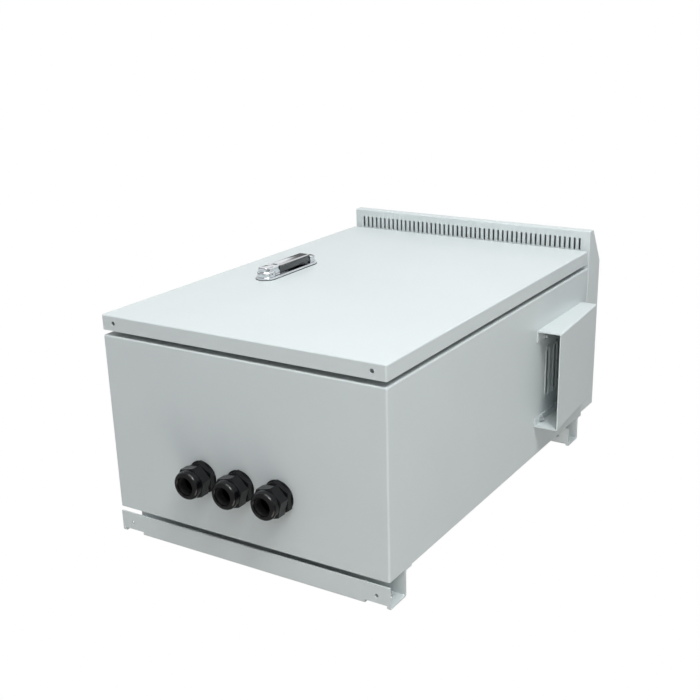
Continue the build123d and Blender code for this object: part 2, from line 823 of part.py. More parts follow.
with BuildPart() as lock_button:
    with BuildSketch(front_plane(head_front - button_seat)):
        with Locations((lock_x, lock_z)):
            RectangleRounded(button_width, button_length, button_round)
    extrude(amount=button_seat + button_proud)
    chamfer(lock_button.edges().group_by(Axis.Y)[0], button_chamfer)
save(lock_button, "lock_button")

with BuildPart() as lock_lever:
    with BuildSketch(Plane.XY.offset(lock_z + lever_start)):
        with Locations((lock_x, -(lever_back + lever_front) / 2)):
            Rectangle(lever_width, lever_front - lever_back)
    extrude(amount=lever_reach - lever_start)
    fillet(lock_lever.edges().filter_by(Axis.Z).group_by(Axis.Y)[0], lever_round)
    with BuildSketch(Plane.YZ.offset(lock_x - lever_width / 2)):
        with Locations((-pivot_depth, pivot_z)):
            Circle(lever_pivot_r)
        with Locations((-pivot_depth, pivot_z + lever_pivot_r)):
            Rectangle(2 * lever_pivot_r, 2 * lever_pivot_r)
    extrude(amount=lever_width)
    with BuildSketch(front_plane(plate_front)):
        with Locations((lock_x, lock_z)):
            Circle(lever_reach)
    extrude(amount=lever_height, mode=Mode.INTERSECT)
    with BuildSketch(Plane.YZ.offset(lock_x - lever_lug / 2 - lug_clear)):
        with Locations((-pivot_depth, pivot_z)):
            Rectangle(3 * lever_height, 2 * (lever_pivot_r + lug_clear))
    extrude(amount=lever_lug + 2 * lug_clear, mode=Mode.SUBTRACT)
    with BuildSketch(Plane.YZ.offset(lock_x - lever_width / 2)):
        with Locations((-pivot_depth, pivot_z)):
            Circle(lever_pin_r + running)
    extrude(amount=lever_width, mode=Mode.SUBTRACT)
save(lock_lever, "lock_lever")

with BuildPart() as lever_pin:
    with BuildSketch(Plane.YZ.offset(lock_x - lever_width / 2 + lever_clear)):
        with Locations((-pivot_depth, pivot_z)):
            Circle(lever_pin_r)
    extrude(amount=lever_width - 2 * lever_clear)
save(lever_pin, "lever_pin")

with BuildPart() as lock_cam:
    with BuildSketch(front_plane(cam_back)):
        with Locations((lock_x, lock_z - cam_length / 2 + cam_width / 4)):
            SlotOverall(cam_length + cam_width / 2, cam_width, rotation=90)
        with Locations((lock_x, lock_z)):
            Rectangle(square + 2 * running, square + 2 * running, mode=Mode.SUBTRACT)
    extrude(amount=cam_sheet)
save(lock_cam, "lock_cam")

with BuildPart() as cam_screw:
    with BuildSketch(front_plane(cam_back)):
        with Locations((lock_x, lock_z)):
            Circle(cam_screw_head_r)
    extrude(amount=-cam_screw_head)
    fillet(cam_screw.edges().group_by(Axis.Y)[-1], cam_screw_head / 2)
    with BuildSketch(front_plane(cam_back)):
        with Locations((lock_x, lock_z)):
            Circle(cam_screw_r)
    extrude(amount=cam_screw_reach)
save(cam_screw, "cam_screw")

# Axial fan under the roof, blowing up into the hood
fan_top = body_height - sheet
fan_centre = (0, -fan_depth)
with BuildPart() as fan_frame:
    with BuildSketch(level(fan_top)):
        with Locations(fan_centre):
            RectangleRounded(fan_size, fan_size, fan_corner_r)
    extrude(amount=-fan_flange)
    with BuildSketch(level(fan_top - fan_thick)):
        with Locations(fan_centre):
            RectangleRounded(fan_size, fan_size, fan_corner_r)
    extrude(amount=fan_flange)
    with BuildSketch(level(fan_top - fan_thick)):
        with Locations(fan_centre):
            Circle(fan_bore_r + fan_wall)
    extrude(amount=fan_thick)
    with BuildSketch(level(fan_top - fan_thick)):
        with Locations(fan_centre):
            Circle(fan_bore_r)
        with Locations(*fan_screw_places):
            Circle(fan_screw_r + running)
    extrude(amount=fan_thick, mode=Mode.SUBTRACT)
    # motor seat on three spokes at the lower side
    with BuildSketch(level(fan_top - fan_thick)):
        with Locations(fan_centre):
            Circle(fan_hub_r)
            with PolarLocations((fan_hub_r + fan_bore_r) / 2, fan_spokes, start_angle=90):
                Rectangle(fan_bore_r - fan_hub_r + 2 * fan_wall, fan_spoke)
    extrude(amount=fan_seat)
    with BuildSketch(level(fan_top - fan_thick)):
        with Locations(fan_centre):
            Circle(fan_shaft_r)
    extrude(amount=fan_shaft)
save(fan_frame, "fan_frame")

blade_tip_r = fan_bore_r - fan_blade_gap
rotor_low = fan_top - fan_thick + fan_seat + fan_end_gap
rotor_tall = fan_thick - fan_seat - 2 * fan_end_gap
shaft_end = fan_top - fan_thick + fan_shaft
with BuildPart() as fan_rotor:
    with BuildSketch(level(rotor_low)):
        with Locations(fan_centre):
            Circle(fan_hub_r)
    extrude(amount=rotor_tall)
    fillet(fan_rotor.edges().group_by(Axis.Z)[-1], fan_cup_round)
    with BuildSketch(level(rotor_low)):
        with Locations(fan_centre):
            Circle(fan_hub_r - fan_wall)
    extrude(amount=rotor_tall - fan_wall, mode=Mode.SUBTRACT)
    # sleeve that runs on the end of the shaft
    with BuildSketch(level(shaft_end - fan_shaft_r)):
        with Locations(fan_centre):
            Circle(fan_shaft_r + fan_boss)
    extrude(amount=rotor_low + rotor_tall - fan_wall - shaft_end + fan_shaft_r)
    with BuildSketch(level(shaft_end - fan_shaft_r)):
        with Locations(fan_centre):
            Circle(fan_shaft_r + running)
    extrude(amount=fan_shaft_r + end_play, mode=Mode.SUBTRACT)
    with BuildPart(mode=Mode.PRIVATE) as blade:
        for radius, pitch in ((fan_hub_r - fan_wall / 2, fan_root_pitch), (blade_tip_r, fan_tip_pitch)):
            with BuildSketch(Plane(origin=(radius, -fan_depth, base + rotor_low + rotor_tall / 2),
                                   x_dir=(0, 1, 0), z_dir=(1, 0, 0))):
                Rectangle(fan_blade_chord, fan_blade_thick, rotation=pitch)
        loft()
    for n in range(fan_blades):
        add(blade.part.rotate(Axis((0, -fan_depth, 0), (0, 0, 1)), n * 360 / fan_blades))
save(fan_rotor, "fan_rotor")

guard_face = fan_top - fan_thick - guard_sheet
with BuildPart() as fan_guard:
    with BuildSketch(level(guard_face)):
        with Locations(fan_centre):
            for ring in range(guard_rings, 0, -1):
                ring_r = fan_bore_r * ring / guard_rings
                Circle(ring_r)
                Circle(ring_r - guard_bar, mode=Mode.SUBTRACT)
            for turn in (-45, 45):
                Rectangle(fan_screw_pitch * 2 ** 0.5, guard_bar, rotation=turn)
        with Locations(*fan_screw_places):
            Circle(guard_eye_r)
            Circle(fan_screw_r + running, mode=Mode.SUBTRACT)
    extrude(amount=guard_sheet)
save(fan_guard, "fan_guard")

fan_nut = 2 * fan_screw_r * nut_ratio
with BuildPart() as fan_screws:
    with BuildSketch(level(body_height)):
        with Locations(*fan_screw_places):
            Circle(2 * fan_screw_r)
    extrude(amount=fan_screw_r)
    with BuildSketch(level(body_height)):
        with Locations(*fan_screw_places):
            Circle(fan_screw_r)
    extrude(amount=guard_face - fan_nut - fan_screw_r - body_height)
save(fan_screws, "fan_screws")

with BuildPart() as fan_nuts:
    with BuildSketch(level(guard_face)):
        with Locations(*fan_screw_places):
            hexagon(4 * fan_screw_r * nut_ratio, fan_screw_r + running)
    extrude(amount=-fan_nut)
save(fan_nuts, "fan_nuts")

# Mounting plate on four shouldered studs: its flanges are bolted down and its middle
# stands in front of the nuts. An earth stud is beside it.
plate_width = width - 2 * plate_side_gap
plate_height = body_height - 2 * plate_end_gap
plate_stud_x = plate_width / 2 - plate_flange / 2
plate_stud_z = plate_height / 2 - plate_stud_inset
plate_stud_places = [(x * plate_stud_x, middle + z * plate_stud_z) for x in (-1, 1) for z in (-1, 1)]
inside_back = back + sheet
plate_back_depth = inside_back + plate_standoff
plate_nut = 2 * plate_stud_r * nut_ratio
with BuildPart() as plate_studs:
    with BuildSketch(front_plane(inside_back)):
        with Locations(*plate_stud_places):
            Circle(plate_stud_r + plate_stud_shoulder)
    extrude(amount=plate_standoff)
    with BuildSketch(front_plane(plate_back_depth)):
        with Locations(*plate_stud_places):
            Circle(plate_stud_r)
    extrude(amount=plate_sheet + plate_nut + plate_stud_r)
save(plate_studs, "plate_studs")

plate_edge = plate_width / 2
plate_panel = plate_edge - plate_flange
with BuildPart() as mounting_plate:
    with BuildSketch(level(plate_end_gap)):
        with BuildLine():
            FilletPolyline(
                (-plate_edge, -plate_back_depth),
                (-plate_panel, -plate_back_depth),
                (-plate_panel, -(plate_back_depth + plate_raise)),
                (plate_panel, -(plate_back_depth + plate_raise)),
                (plate_panel, -plate_back_depth),
                (plate_edge, -plate_back_depth),
                radius=plate_fold_r)
            offset(amount=plate_sheet, side=Side.RIGHT)
        make_face()
    extrude(amount=plate_height)
    with BuildSketch(front_plane(plate_back_depth)):
        with Locations(*plate_stud_places):
            Circle(plate_stud_r + running)
    extrude(amount=plate_sheet, mode=Mode.SUBTRACT)
save(mounting_plate, "mounting_plate")

with BuildPart() as plate_nuts:
    with BuildSketch(front_plane(plate_back_depth + plate_sheet)):
        with Locations(*plate_stud_places):
            hexagon(plate_nut_flats, plate_stud_r + running)
    extrude(amount=plate_nut)
save(plate_nuts, "plate_nuts")

earth_place = (-(side - plate_side_gap / 2), base + earth_up)
with BuildPart() as earth_stud:
    with BuildSketch(front_plane(inside_back)):
        with Locations(earth_place):
            Circle(plate_stud_r)
    extrude(amount=plate_nut + earth_relief + earth_free)
    with BuildSketch(front_plane(inside_back + plate_nut)):
        with Locations(earth_place):
            Circle(plate_stud_r)
            Circle(earth_relief_r, mode=Mode.SUBTRACT)
    extrude(amount=earth_relief, mode=Mode.SUBTRACT)
save(earth_stud, "earth_stud")

with BuildPart() as earth_nut:
    with BuildSketch(front_plane(inside_back)):
        with Locations(earth_place):
            hexagon(plate_nut_flats, plate_stud_r + running)
    extrude(amount=plate_nut)
save(earth_nut, "earth_nut")
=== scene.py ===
import math
from contextlib import contextmanager

import bmesh
import bpy
from bpy.props import FloatProperty, FloatVectorProperty, IntProperty, PointerProperty
from mathutils import Matrix, Vector


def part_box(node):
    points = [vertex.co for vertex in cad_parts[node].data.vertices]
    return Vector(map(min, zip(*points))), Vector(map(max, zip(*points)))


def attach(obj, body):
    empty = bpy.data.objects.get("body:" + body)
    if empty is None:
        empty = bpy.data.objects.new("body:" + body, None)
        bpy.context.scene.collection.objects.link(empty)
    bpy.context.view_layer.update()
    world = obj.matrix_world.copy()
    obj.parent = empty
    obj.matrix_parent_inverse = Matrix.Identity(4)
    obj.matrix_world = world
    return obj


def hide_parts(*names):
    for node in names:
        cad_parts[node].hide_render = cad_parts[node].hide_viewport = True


# Dresses the CAD model of a ventilated steel wall cabinet: finishes for its sheet
# metal, and detailed cable glands, lock, fasteners, insect mesh, gasket and fan guard.
# Everything is in metres, in the frame of the CAD model: the door faces -Y, +Z is up.

bl_info = {
    "name": "Ventilated wall cabinet",
    "version": (1, 0, 0),
    "blender": (4, 5, 0),
    "location": "3D View > Sidebar > Cabinet",
    "description": "Dresses the CAD model of a ventilated steel wall cabinet",
    "category": "Object",
}

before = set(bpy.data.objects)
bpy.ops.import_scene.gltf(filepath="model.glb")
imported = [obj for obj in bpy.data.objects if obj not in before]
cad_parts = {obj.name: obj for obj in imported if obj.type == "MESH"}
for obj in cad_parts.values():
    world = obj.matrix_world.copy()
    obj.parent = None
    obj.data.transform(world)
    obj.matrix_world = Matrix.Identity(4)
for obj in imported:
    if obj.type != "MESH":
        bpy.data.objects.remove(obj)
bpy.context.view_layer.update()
MM = 0.001
PLAY = 0.05 * MM  # between pieces that fit into each other
NEAR = 0.1 * MM  # how close to a place an edge or face has to be to be picked
RIGHT, LEFT = Vector((1, 0, 0)), Vector((-1, 0, 0))
UP, DOWN = Vector((0, 0, 1)), Vector((0, 0, -1))
OUT, IN = Vector((0, -1, 0)), Vector((0, 1, 0))


# Sizes and colours

def length(name, description, millimetres):
    return FloatProperty(name=name, description=description, default=millimetres * MM,
                         min=0.0, precision=5, unit="LENGTH", subtype="DISTANCE")


def angle(name, description, degrees):
    return FloatProperty(name=name, description=description, default=math.radians(degrees),
                         unit="ROTATION", subtype="ANGLE")


def power(name, description, watts):
    return FloatProperty(name=name, description=description, default=watts, min=0.0,
                         unit="POWER")


def colour(name, description, default):
    return FloatVectorProperty(name=name, description=description, default=default,
                               size=3, min=0.0, max=1.0, subtype="COLOR")


class CabinetFinishes(bpy.types.PropertyGroup):
    coat: colour("Powder coat", "Colour of the painted sheet metal", (0.645, 0.7, 0.705))
    coat_grain: length("Coat grain", "Size of the powder coat's fine orange peel", 0.9)
    zinc: colour("Zinc", "Colour of the plated steel", (0.72, 0.73, 0.75))
    chrome: colour("Chrome", "Colour of the plated lock", (0.7, 0.73, 0.76))
    # The lever's dark sides are painted shade added in its finish, not a darker plating; this
    # colour is its chrome top.
    lever: colour("Lever chrome", "Colour of the lever's darker plating", (0.74, 0.77, 0.8))
    # the wire's dark colour is partly its own and partly painted shade for the dim vents behind the
    # side hood
    wire: colour("Mesh wire", "Colour of the woven wire", (0.2, 0.21, 0.22))
    brass: colour("Brass", "Colour of the earth stud", (0.72, 0.53, 0.24))
    nylon: colour("Nylon", "Colour of the cable glands", (0.0035, 0.0038, 0.0045))
    rubber: colour("Rubber", "Colour of seals and gasket", (0.007, 0.007, 0.0075))
    fan: colour("Fan plastic", "Colour of the fan's frame and rotor", (0.018, 0.018, 0.019))


class GlandSizes(bpy.types.PropertyGroup):
    cap_flats: length("Cap flats", "Width across the flats of the cap nut", 36.4)
    cap_hex: length("Cap hexagon", "Height of the cap nut's hexagon", 13.6)
    cap_length: length("Cap length", "Height of the whole cap nut", 24.2)
    dome_radius: length("Dome", "Radius of the cap's smooth part", 17.8)
    dome_round: length("Dome rounding", "Rounding of the cap's free end", 5.6)
    mouth_radius: length("Mouth", "Radius of the cap's opening", 11.6)
    lip: length("Lip", "Depth of the opening's lip", 5.0)
    body_flats: length("Body flats", "Width across the flats of the body", 38.0)
    body_hex: length("Body hexagon", "Height of the body's hexagon", 8.0)
    spigot_radius: length("Spigot", "Radius of the part inside the cap", 14.3)
    seal_radius: length("Seal", "Outer radius of the rubber seal", 12.75)
    bore_radius: length("Bore", "Radius of the seal's bore", 10.4)
    rib: length("Seal rib", "Distance between the ribs inside the seal", 1.2)
    thread_radius: length("Thread", "Radius of the body's thread", 16.0)
    pitch: length("Pitch", "Pitch of the body's thread", 1.5)
    nut_height: length("Locknut", "Height of the locknut", 6.0)
    cap_turn: angle("Cap turn", "How far the cap nuts are tightened round", -15.0)
    body_turn: angle("Body turn", "How the bodies' hexagons are turned", 30.0)


class LockSizes(bpy.types.PropertyGroup):
    plate: length("Plate", "Thickness of the base plate", 2.5)
    edge: length("Plate edge", "Rounding of the base plate's edge", 1.0)
    wedge_width: length("Wedge width", "Width of the wedge beyond the lever", 22.0)
    wedge_inset: length("Wedge inset", "Distance from the wedge to the plate's end", 2.0)
    wedge_slope: length("Wedge slope", "How far the wedge's front falls away", 1.6)
    lever_round: length("Lever rounding", "Rounding of the lever's back", 3.2)
    boss_radius: length("Boss", "Radius of the turning boss", 12.5)
    head_width: length("Head", "Width of the block that holds the button", 19.0)
    facet: length("Facet", "Width of the block's facets", 1.2)
    button_bevel: length("Button bevel", "Width of the button's bevel", 1.1)
    neck_radius: length("Neck", "Radius of the lock's threaded neck", 10.0)
    stem_radius: length("Stem", "Radius of the head's stem in the neck", 6.5)
    knuckle_radius: length("Knuckle", "Radius of the lever's end on its pin", 3.2)


class FastenerSizes(bpy.types.PropertyGroup):
    thread_depth: FloatProperty(name="Thread depth", default=0.13, min=0.02, max=0.3,
                                description="Depth of a thread in parts of its radius")
    sides: IntProperty(name="Sides", description="Faces round a screw", default=24, min=12, max=64)


class MeshSizes(bpy.types.PropertyGroup):
    pitch: length("Mesh pitch", "Distance between the wires", 1.8)
    wire: length("Wire", "Thickness of a wire", 0.4)


class GasketSizes(bpy.types.PropertyGroup):
    width: length("Width", "Width of the foam strip", 6.0)
    rounding: length("Rounding", "Rounding of the strip's free side", 2.6)


class GuardSizes(bpy.types.PropertyGroup):
    wire: length("Guard wire", "Thickness of the finger guard's wires", 1.5)
    rings: IntProperty(name="Rings", description="Rings of the finger guard", default=5, min=2,
                       max=8)
    radius: length("Guard radius", "Outer radius of the finger guard", 57.5)
    hub: length("Hub", "Radius inside the rings that stays free", 8.0)
    pitch: length("Hole pitch", "Distance between the fan's fixing holes", 105.0)
    eye: length("Eye", "Radius of the eyes round the screws", 3.4)
    bar_end: length("Bar end", "Distance from a bar's end to the hole", 4.5)


class StageSizes(bpy.types.PropertyGroup):
    floor_drop: length("Floor", "Height of the cabinet's middle above the floor", 1320.0)
    key: power("Key light", "Strength of the main light", 56.0)
    door: power("Door light", "Strength of the light before the door", 25.0)
    bounce: power("Bounce", "Strength of the warm light from behind", 16.0)
    sky: FloatProperty(name="Sky", description="Strength of the soft light all round",
                       default=0.44, min=0.0)


def sizes(group):
    return getattr(bpy.context.scene, "cabinet_" + group)


# Modelling helpers

def span(name):
    """A CAD node's lowest and highest corners at rest, and its middle."""
    low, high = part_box(name)
    return low, high, (low + high) / 2


def top_of(name):
    """The middle of a CAD node's upper end at rest."""
    _, high, middle = span(name)
    return Vector((middle.x, middle.y, high.z))


def deselect():
    if bpy.context.object and bpy.context.object.mode != "OBJECT":
        bpy.ops.object.mode_set(mode="OBJECT")
    bpy.ops.object.select_all(action="DESELECT")


def choose(piece):
    deselect()
    piece.select_set(True)
    bpy.context.view_layer.objects.active = piece


def settle(name):
    """Name the active piece and put its place into its mesh."""
    piece = bpy.context.object
    piece.name = name
    piece.data.name = name
    bpy.ops.object.transform_apply()
    return piece


def put(name, place, along):
    """Turn the active piece's axis along a direction and settle it at a place."""
    piece = bpy.context.object
    piece.rotation_euler = facing(along)
    piece.location = place
    return settle(name)


def everything():
    bpy.ops.mesh.select_all(action="SELECT")


def face_outwards():
    everything()
    bpy.ops.mesh.normals_make_consistent()


@contextmanager
def editing(piece):
    """Edit a piece's mesh with nothing selected at first."""
    choose(piece)
    bpy.ops.object.mode_set(mode="EDIT")
    bpy.ops.mesh.select_mode(type="VERT")
    bpy.ops.mesh.select_all(action="DESELECT")
    yield
    bpy.ops.object.mode_set(mode="OBJECT")


def pick(piece, kind, test):
    """Select the open mesh's verts, edges or faces whose middle (and normal) pass a test."""
    bpy.ops.mesh.select_mode(type=kind)
    bpy.ops.mesh.select_all(action="DESELECT")
    mesh = bmesh.from_edit_mesh(piece.data)
    if kind == "VERT":
        for vert in mesh.verts:
            vert.select_set(test(vert.co))
    elif kind == "EDGE":
        for edge in mesh.edges:
            edge.select_set(test((edge.verts[0].co + edge.verts[1].co) / 2))
    else:
        mesh.normal_update()
        for face in mesh.faces:
            face.select_set(test(face.calc_center_median(), face.normal))
    mesh.select_flush_mode()
    bmesh.update_edit_mesh(piece.data)


def facing(direction):
    return direction.to_track_quat("Z", "Y").to_euler()


def corner_turn(along, wanted):
    """Turn about its axis that puts a prism's corner on the wanted direction."""
    local = along.to_track_quat("Z", "Y").inverted() @ wanted
    return math.atan2(local.y, local.x) - math.pi / 2


def draw(points):
    """Start a piece as a chain of edges through points, and stay in edit mode."""
    deselect()
    bpy.ops.mesh.primitive_plane_add(size=MM)
    bpy.ops.object.mode_set(mode="EDIT")
    bpy.ops.mesh.select_mode(type="VERT")
    everything()
    bpy.ops.mesh.merge(type="CENTER")
    here = points[0]
    bpy.ops.transform.translate(value=here)
    for point in points[1:]:
        bpy.ops.mesh.extrude_vertices_move(TRANSFORM_OT_translate={"value": point - here})
        here = point
    everything()


def turned(name, outline, place, along=UP, sides=48):
    """Spin an outline of (radius, distance along the axis) points about an axis."""
    draw([Vector((radius, 0, distance)) for radius, distance in outline])
    bpy.ops.mesh.spin(steps=sides, angle=2 * math.pi, center=(0, 0, 0), axis=(0, 0, 1))
    everything()
    bpy.ops.mesh.remove_doubles(threshold=0.002 * MM)
    face_outwards()
    bpy.ops.object.mode_set(mode="OBJECT")
    return put(name, place, along)


def prism(name, corners, radius, height, place, along=UP, turn=0.0):
    """Regular prism that starts at a place and runs along a direction."""
    deselect()
    bpy.ops.mesh.primitive_cylinder_add(vertices=corners, radius=radius, depth=height,
                                        rotation=(0, 0, turn))
    bpy.ops.object.transform_apply()
    return put(name, place + along * height / 2, along)


def block(name, low, high):
    """Box between two corners."""
    deselect()
    bpy.ops.mesh.primitive_cube_add(size=1, location=(low + high) / 2, scale=high - low)
    return settle(name)


def apply(piece, kind, **values):
    """Add a modifier and apply it."""
    choose(piece)
    modifier = piece.modifiers.new(kind.title(), kind)
    for key, value in values.items():
        setattr(modifier, key, value)
    bpy.ops.object.modifier_apply(modifier=modifier.name)


def combine(piece, tool, operation):
    """Join, cut or trim a piece with another one, which is used up."""
    apply(piece, "BOOLEAN", operation=operation, object=tool, solver="EXACT")
    bpy.data.objects.remove(tool)


def drill(piece, corners, radius, depth, place, along):
    """Cut a hole from a place to a depth, with a little run-out at both ends."""
    hole = prism("hole", corners, radius, depth * 1.2, place - along * depth * 0.1, along)
    combine(piece, hole, "DIFFERENCE")


def soften(piece, width=0.0, segments=2, angle=40):
    """Round the sharp edges a little and shade the rest smooth."""
    if width:
        apply(piece, "BEVEL", width=width, segments=segments, limit_method="ANGLE",
              angle_limit=math.radians(angle), use_clamp_overlap=True)
    choose(piece)
    bpy.ops.object.shade_smooth_by_angle(angle=math.radians(38))


def copied(piece, name, move):
    choose(piece)
    bpy.ops.object.duplicate()
    bpy.ops.transform.translate(value=move)
    return settle(name)


def joined(parts, name):
    """Make one piece of several."""
    deselect()
    for part in parts:
        part.select_set(True)
    bpy.context.view_layer.objects.active = parts[0]
    if len(parts) > 1:
        bpy.ops.object.join()
    return settle(name)


def paint(piece, finish):
    piece.data.materials.clear()
    piece.data.materials.append(finishes()[finish])


def finish_piece(piece, finish, nodes, body="cabinet"):
    """Give a new piece its finish and its body, and hide the CAD nodes it stands for."""
    paint(piece, finish)
    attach(piece, body)
    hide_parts(*nodes)


def thread(radius, low, high, pitch):
    """Outline points of a thread, from one end to the other."""
    root = radius * (1 - sizes("fasteners").thread_depth)
    turns = max(1, round(abs(high - low) / pitch))
    step = (high - low) / turns
    points = [(root, low)]
    for turn in range(turns):
        points += [(radius, low + (turn + 0.42) * step), (radius, low + (turn + 0.58) * step),
                   (root, low + (turn + 1) * step)]
    return points


# Finishes

def start_finish(name):
    material = bpy.data.materials.new(name)
    material.use_nodes = True
    return material, material.node_tree, material.node_tree.nodes["Principled BSDF"]


def node(tree, kind, **values):
    made = tree.nodes.new("ShaderNode" + kind)
    for key, value in values.items():
        if key in made.inputs:
            made.inputs[key].default_value = value
        else:
            setattr(made, key, value)
    return made


def link(source, target):
    source.id_data.links.new(source, target)


def pattern(tree, kind, scale, **values):
    """Texture on the piece's own Object coordinates; scale is in features per metre."""
    place = tree.nodes.get("Texture Coordinate") or node(tree, "TexCoord")
    made = node(tree, "Tex" + kind, Scale=scale, **values)
    link(place.outputs["Object"], made.inputs["Vector"])
    return made


def spread(tree, source, low, high, first=0.3, last=0.7, **values):
    """Map a value that runs from first to last to a range from low to high."""
    values |= {"From Min": first, "From Max": last, "To Min": low, "To Max": high}
    made = node(tree, "MapRange", **values)
    link(source, made.inputs["Value"])
    return made.outputs["Result"]


def shades(tree, source, shader, base, change):
    """Vary a colour a little with a texture."""
    ramp = node(tree, "ValToRGB")
    for stop, place, part in zip(ramp.color_ramp.elements, (0.3, 0.7), (1 - change, 1 + change)):
        stop.position = place
        stop.color = (*[min(1, c * part) for c in base], 1)
    link(source, ramp.inputs["Fac"])
    link(ramp.outputs["Color"], shader.inputs["Base Color"])


def relief(tree, source, shader, strength, distance):
    bump = node(tree, "Bump", Strength=strength, Distance=distance)
    link(source, bump.inputs["Height"])
    link(bump.outputs["Normal"], shader.inputs["Normal"])


def powder_coat():
    finish = sizes("finishes")
    material, tree, shader = start_finish("powder_coat")
    grain = pattern(tree, "Noise", 1 / finish.coat_grain, Detail=3.0, Roughness=0.55)
    cloud = pattern(tree, "Noise", 9.0, Detail=2.0)
    shades(tree, cloud.outputs["Fac"], shader, finish.coat, 0.012)
    link(spread(tree, grain.outputs["Fac"], 0.36, 0.46), shader.inputs["Roughness"])
    relief(tree, grain.outputs["Fac"], shader, 0.16, 0.25 * MM)
    shader.inputs["Specular IOR Level"].default_value = 0.42
    return material


def plated(name, base, low, high, grain=1400.0, bump=0.05):
    """Metal with a plated skin: fine grain in its roughness and a faint relief."""
    material, tree, shader = start_finish(name)
    shader.inputs["Metallic"].default_value = 1.0
    fine = pattern(tree, "Noise", grain, Detail=4.0)
    cloud = pattern(tree, "Noise", 60.0, Detail=2.0)
    shades(tree, cloud.outputs["Fac"], shader, base, 0.06)
    link(spread(tree, fine.outputs["Fac"], low, high), shader.inputs["Roughness"])
    relief(tree, fine.outputs["Fac"], shader, bump, 0.1 * MM)
    return material


def lever_chrome_painted_side_shade(base, side_shade):
    """Chrome with painted shade on its sides, which face along the door: their colour is darkened
    to stand in for the dark reflections there.
    """
    material = plated("lever_chrome_painted_side_shade", base, 0.07, 0.12, 500.0, 0.015)
    tree = material.node_tree
    shader = tree.nodes["Principled BSDF"]
    split = node(tree, "SeparateXYZ")
    link(tree.nodes["Texture Coordinate"].outputs["Normal"], split.inputs[0])
    # painted shade: darken the colour of faces that don't look straight out of the door
    level = spread(tree, split.outputs["Y"], 1.0, side_shade, -0.93, -0.6)
    side_shaded_colour = node(tree, "VectorMath", operation="SCALE")
    link(shader.inputs["Base Color"].links[0].from_socket, side_shaded_colour.inputs[0])
    link(level, side_shaded_colour.inputs["Scale"])
    link(side_shaded_colour.outputs["Vector"], shader.inputs["Base Color"])
    return material


def spangled_zinc(base):
    """Galvanised sheet with its large crystals."""
    material, tree, shader = start_finish("galvanised_sheet")
    shader.inputs["Metallic"].default_value = 1.0
    crystal = pattern(tree, "Voronoi", 110.0)
    tone = node(tree, "SeparateColor")
    link(crystal.outputs["Color"], tone.inputs["Color"])
    shades(tree, tone.outputs[0], shader, base, 0.09)
    link(spread(tree, tone.outputs[1], 0.3, 0.48), shader.inputs["Roughness"])
    fine = pattern(tree, "Noise", 2200.0, Detail=2.0)
    relief(tree, fine.outputs["Fac"], shader, 0.06, 0.1 * MM)
    return material


def plastic(name, base, low, high, grain, bump, gloss=0.5):
    """Moulded plastic or rubber with a fine skin."""
    material, tree, shader = start_finish(name)
    shader.inputs["Specular IOR Level"].default_value = gloss
    fine = pattern(tree, "Noise", grain, Detail=5.0, Roughness=0.6)
    cloud = pattern(tree, "Noise", 35.0, Detail=2.0)
    shades(tree, cloud.outputs["Fac"], shader, base, 0.15)
    link(spread(tree, fine.outputs["Fac"], low, high), shader.inputs["Roughness"])
    relief(tree, fine.outputs["Fac"], shader, bump, 0.1 * MM)
    return material


FINISHES = {}


def finishes():
    """The materials, made once."""
    if not FINISHES:
        tone = sizes("finishes")
        FINISHES.update(
            coat=powder_coat(),
            zinc=plated("zinc_plate", tone.zinc, 0.28, 0.42),
            sheet_zinc=spangled_zinc(tone.zinc),
            chrome=plated("chrome", tone.chrome, 0.06, 0.12, 500.0, 0.015),
            # the lever's finish paints shade into the colour of its sides
            lever=lever_chrome_painted_side_shade(tone.lever, 0.13),
            # the mesh wire's dark tone is partly painted shade for the vents behind the side hood
            wire=plated("mesh_wire", tone.wire, 0.3, 0.42, 3000.0),
            brass=plated("turned_brass", tone.brass, 0.24, 0.36),
            nylon=plastic("nylon", tone.nylon, 0.12, 0.2, 900.0, 0.03, 0.36),
            rubber=plastic("rubber", tone.rubber, 0.55, 0.75, 1500.0, 0.25, 0.25),
            fan=plastic("fan_plastic", tone.fan, 0.38, 0.55, 1800.0, 0.12),
        )
    return FINISHES


class CABINET_OT_finishes(bpy.types.Operator):
    """Give every piece that keeps its CAD shape its finish"""
    bl_idname = "cabinet.finishes"
    bl_label = "Finish the sheet metal"

    def execute(self, context):
        wanted = {
            "coat": ["body_wrap", "back_panel", "door", "top_hood", "side_hood", "lower_rail",
                     "upper_rail"],
            "zinc": ["vent_frame", "hinge_bracket_1", "hinge_bracket_2", "hinge_leaf_1",
                     "hinge_leaf_2", "hinge_pin_1", "hinge_pin_2", "lock_cam", "cam_screw",
                     "lever_pin"],
            "sheet_zinc": ["mounting_plate"],
            "fan": ["fan_frame", "fan_rotor"],
            "rubber": ["lock_gasket"],
        }
        for finish, nodes in wanted.items():
            for name in nodes:
                paint(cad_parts[name], finish)
        return {"FINISHED"}


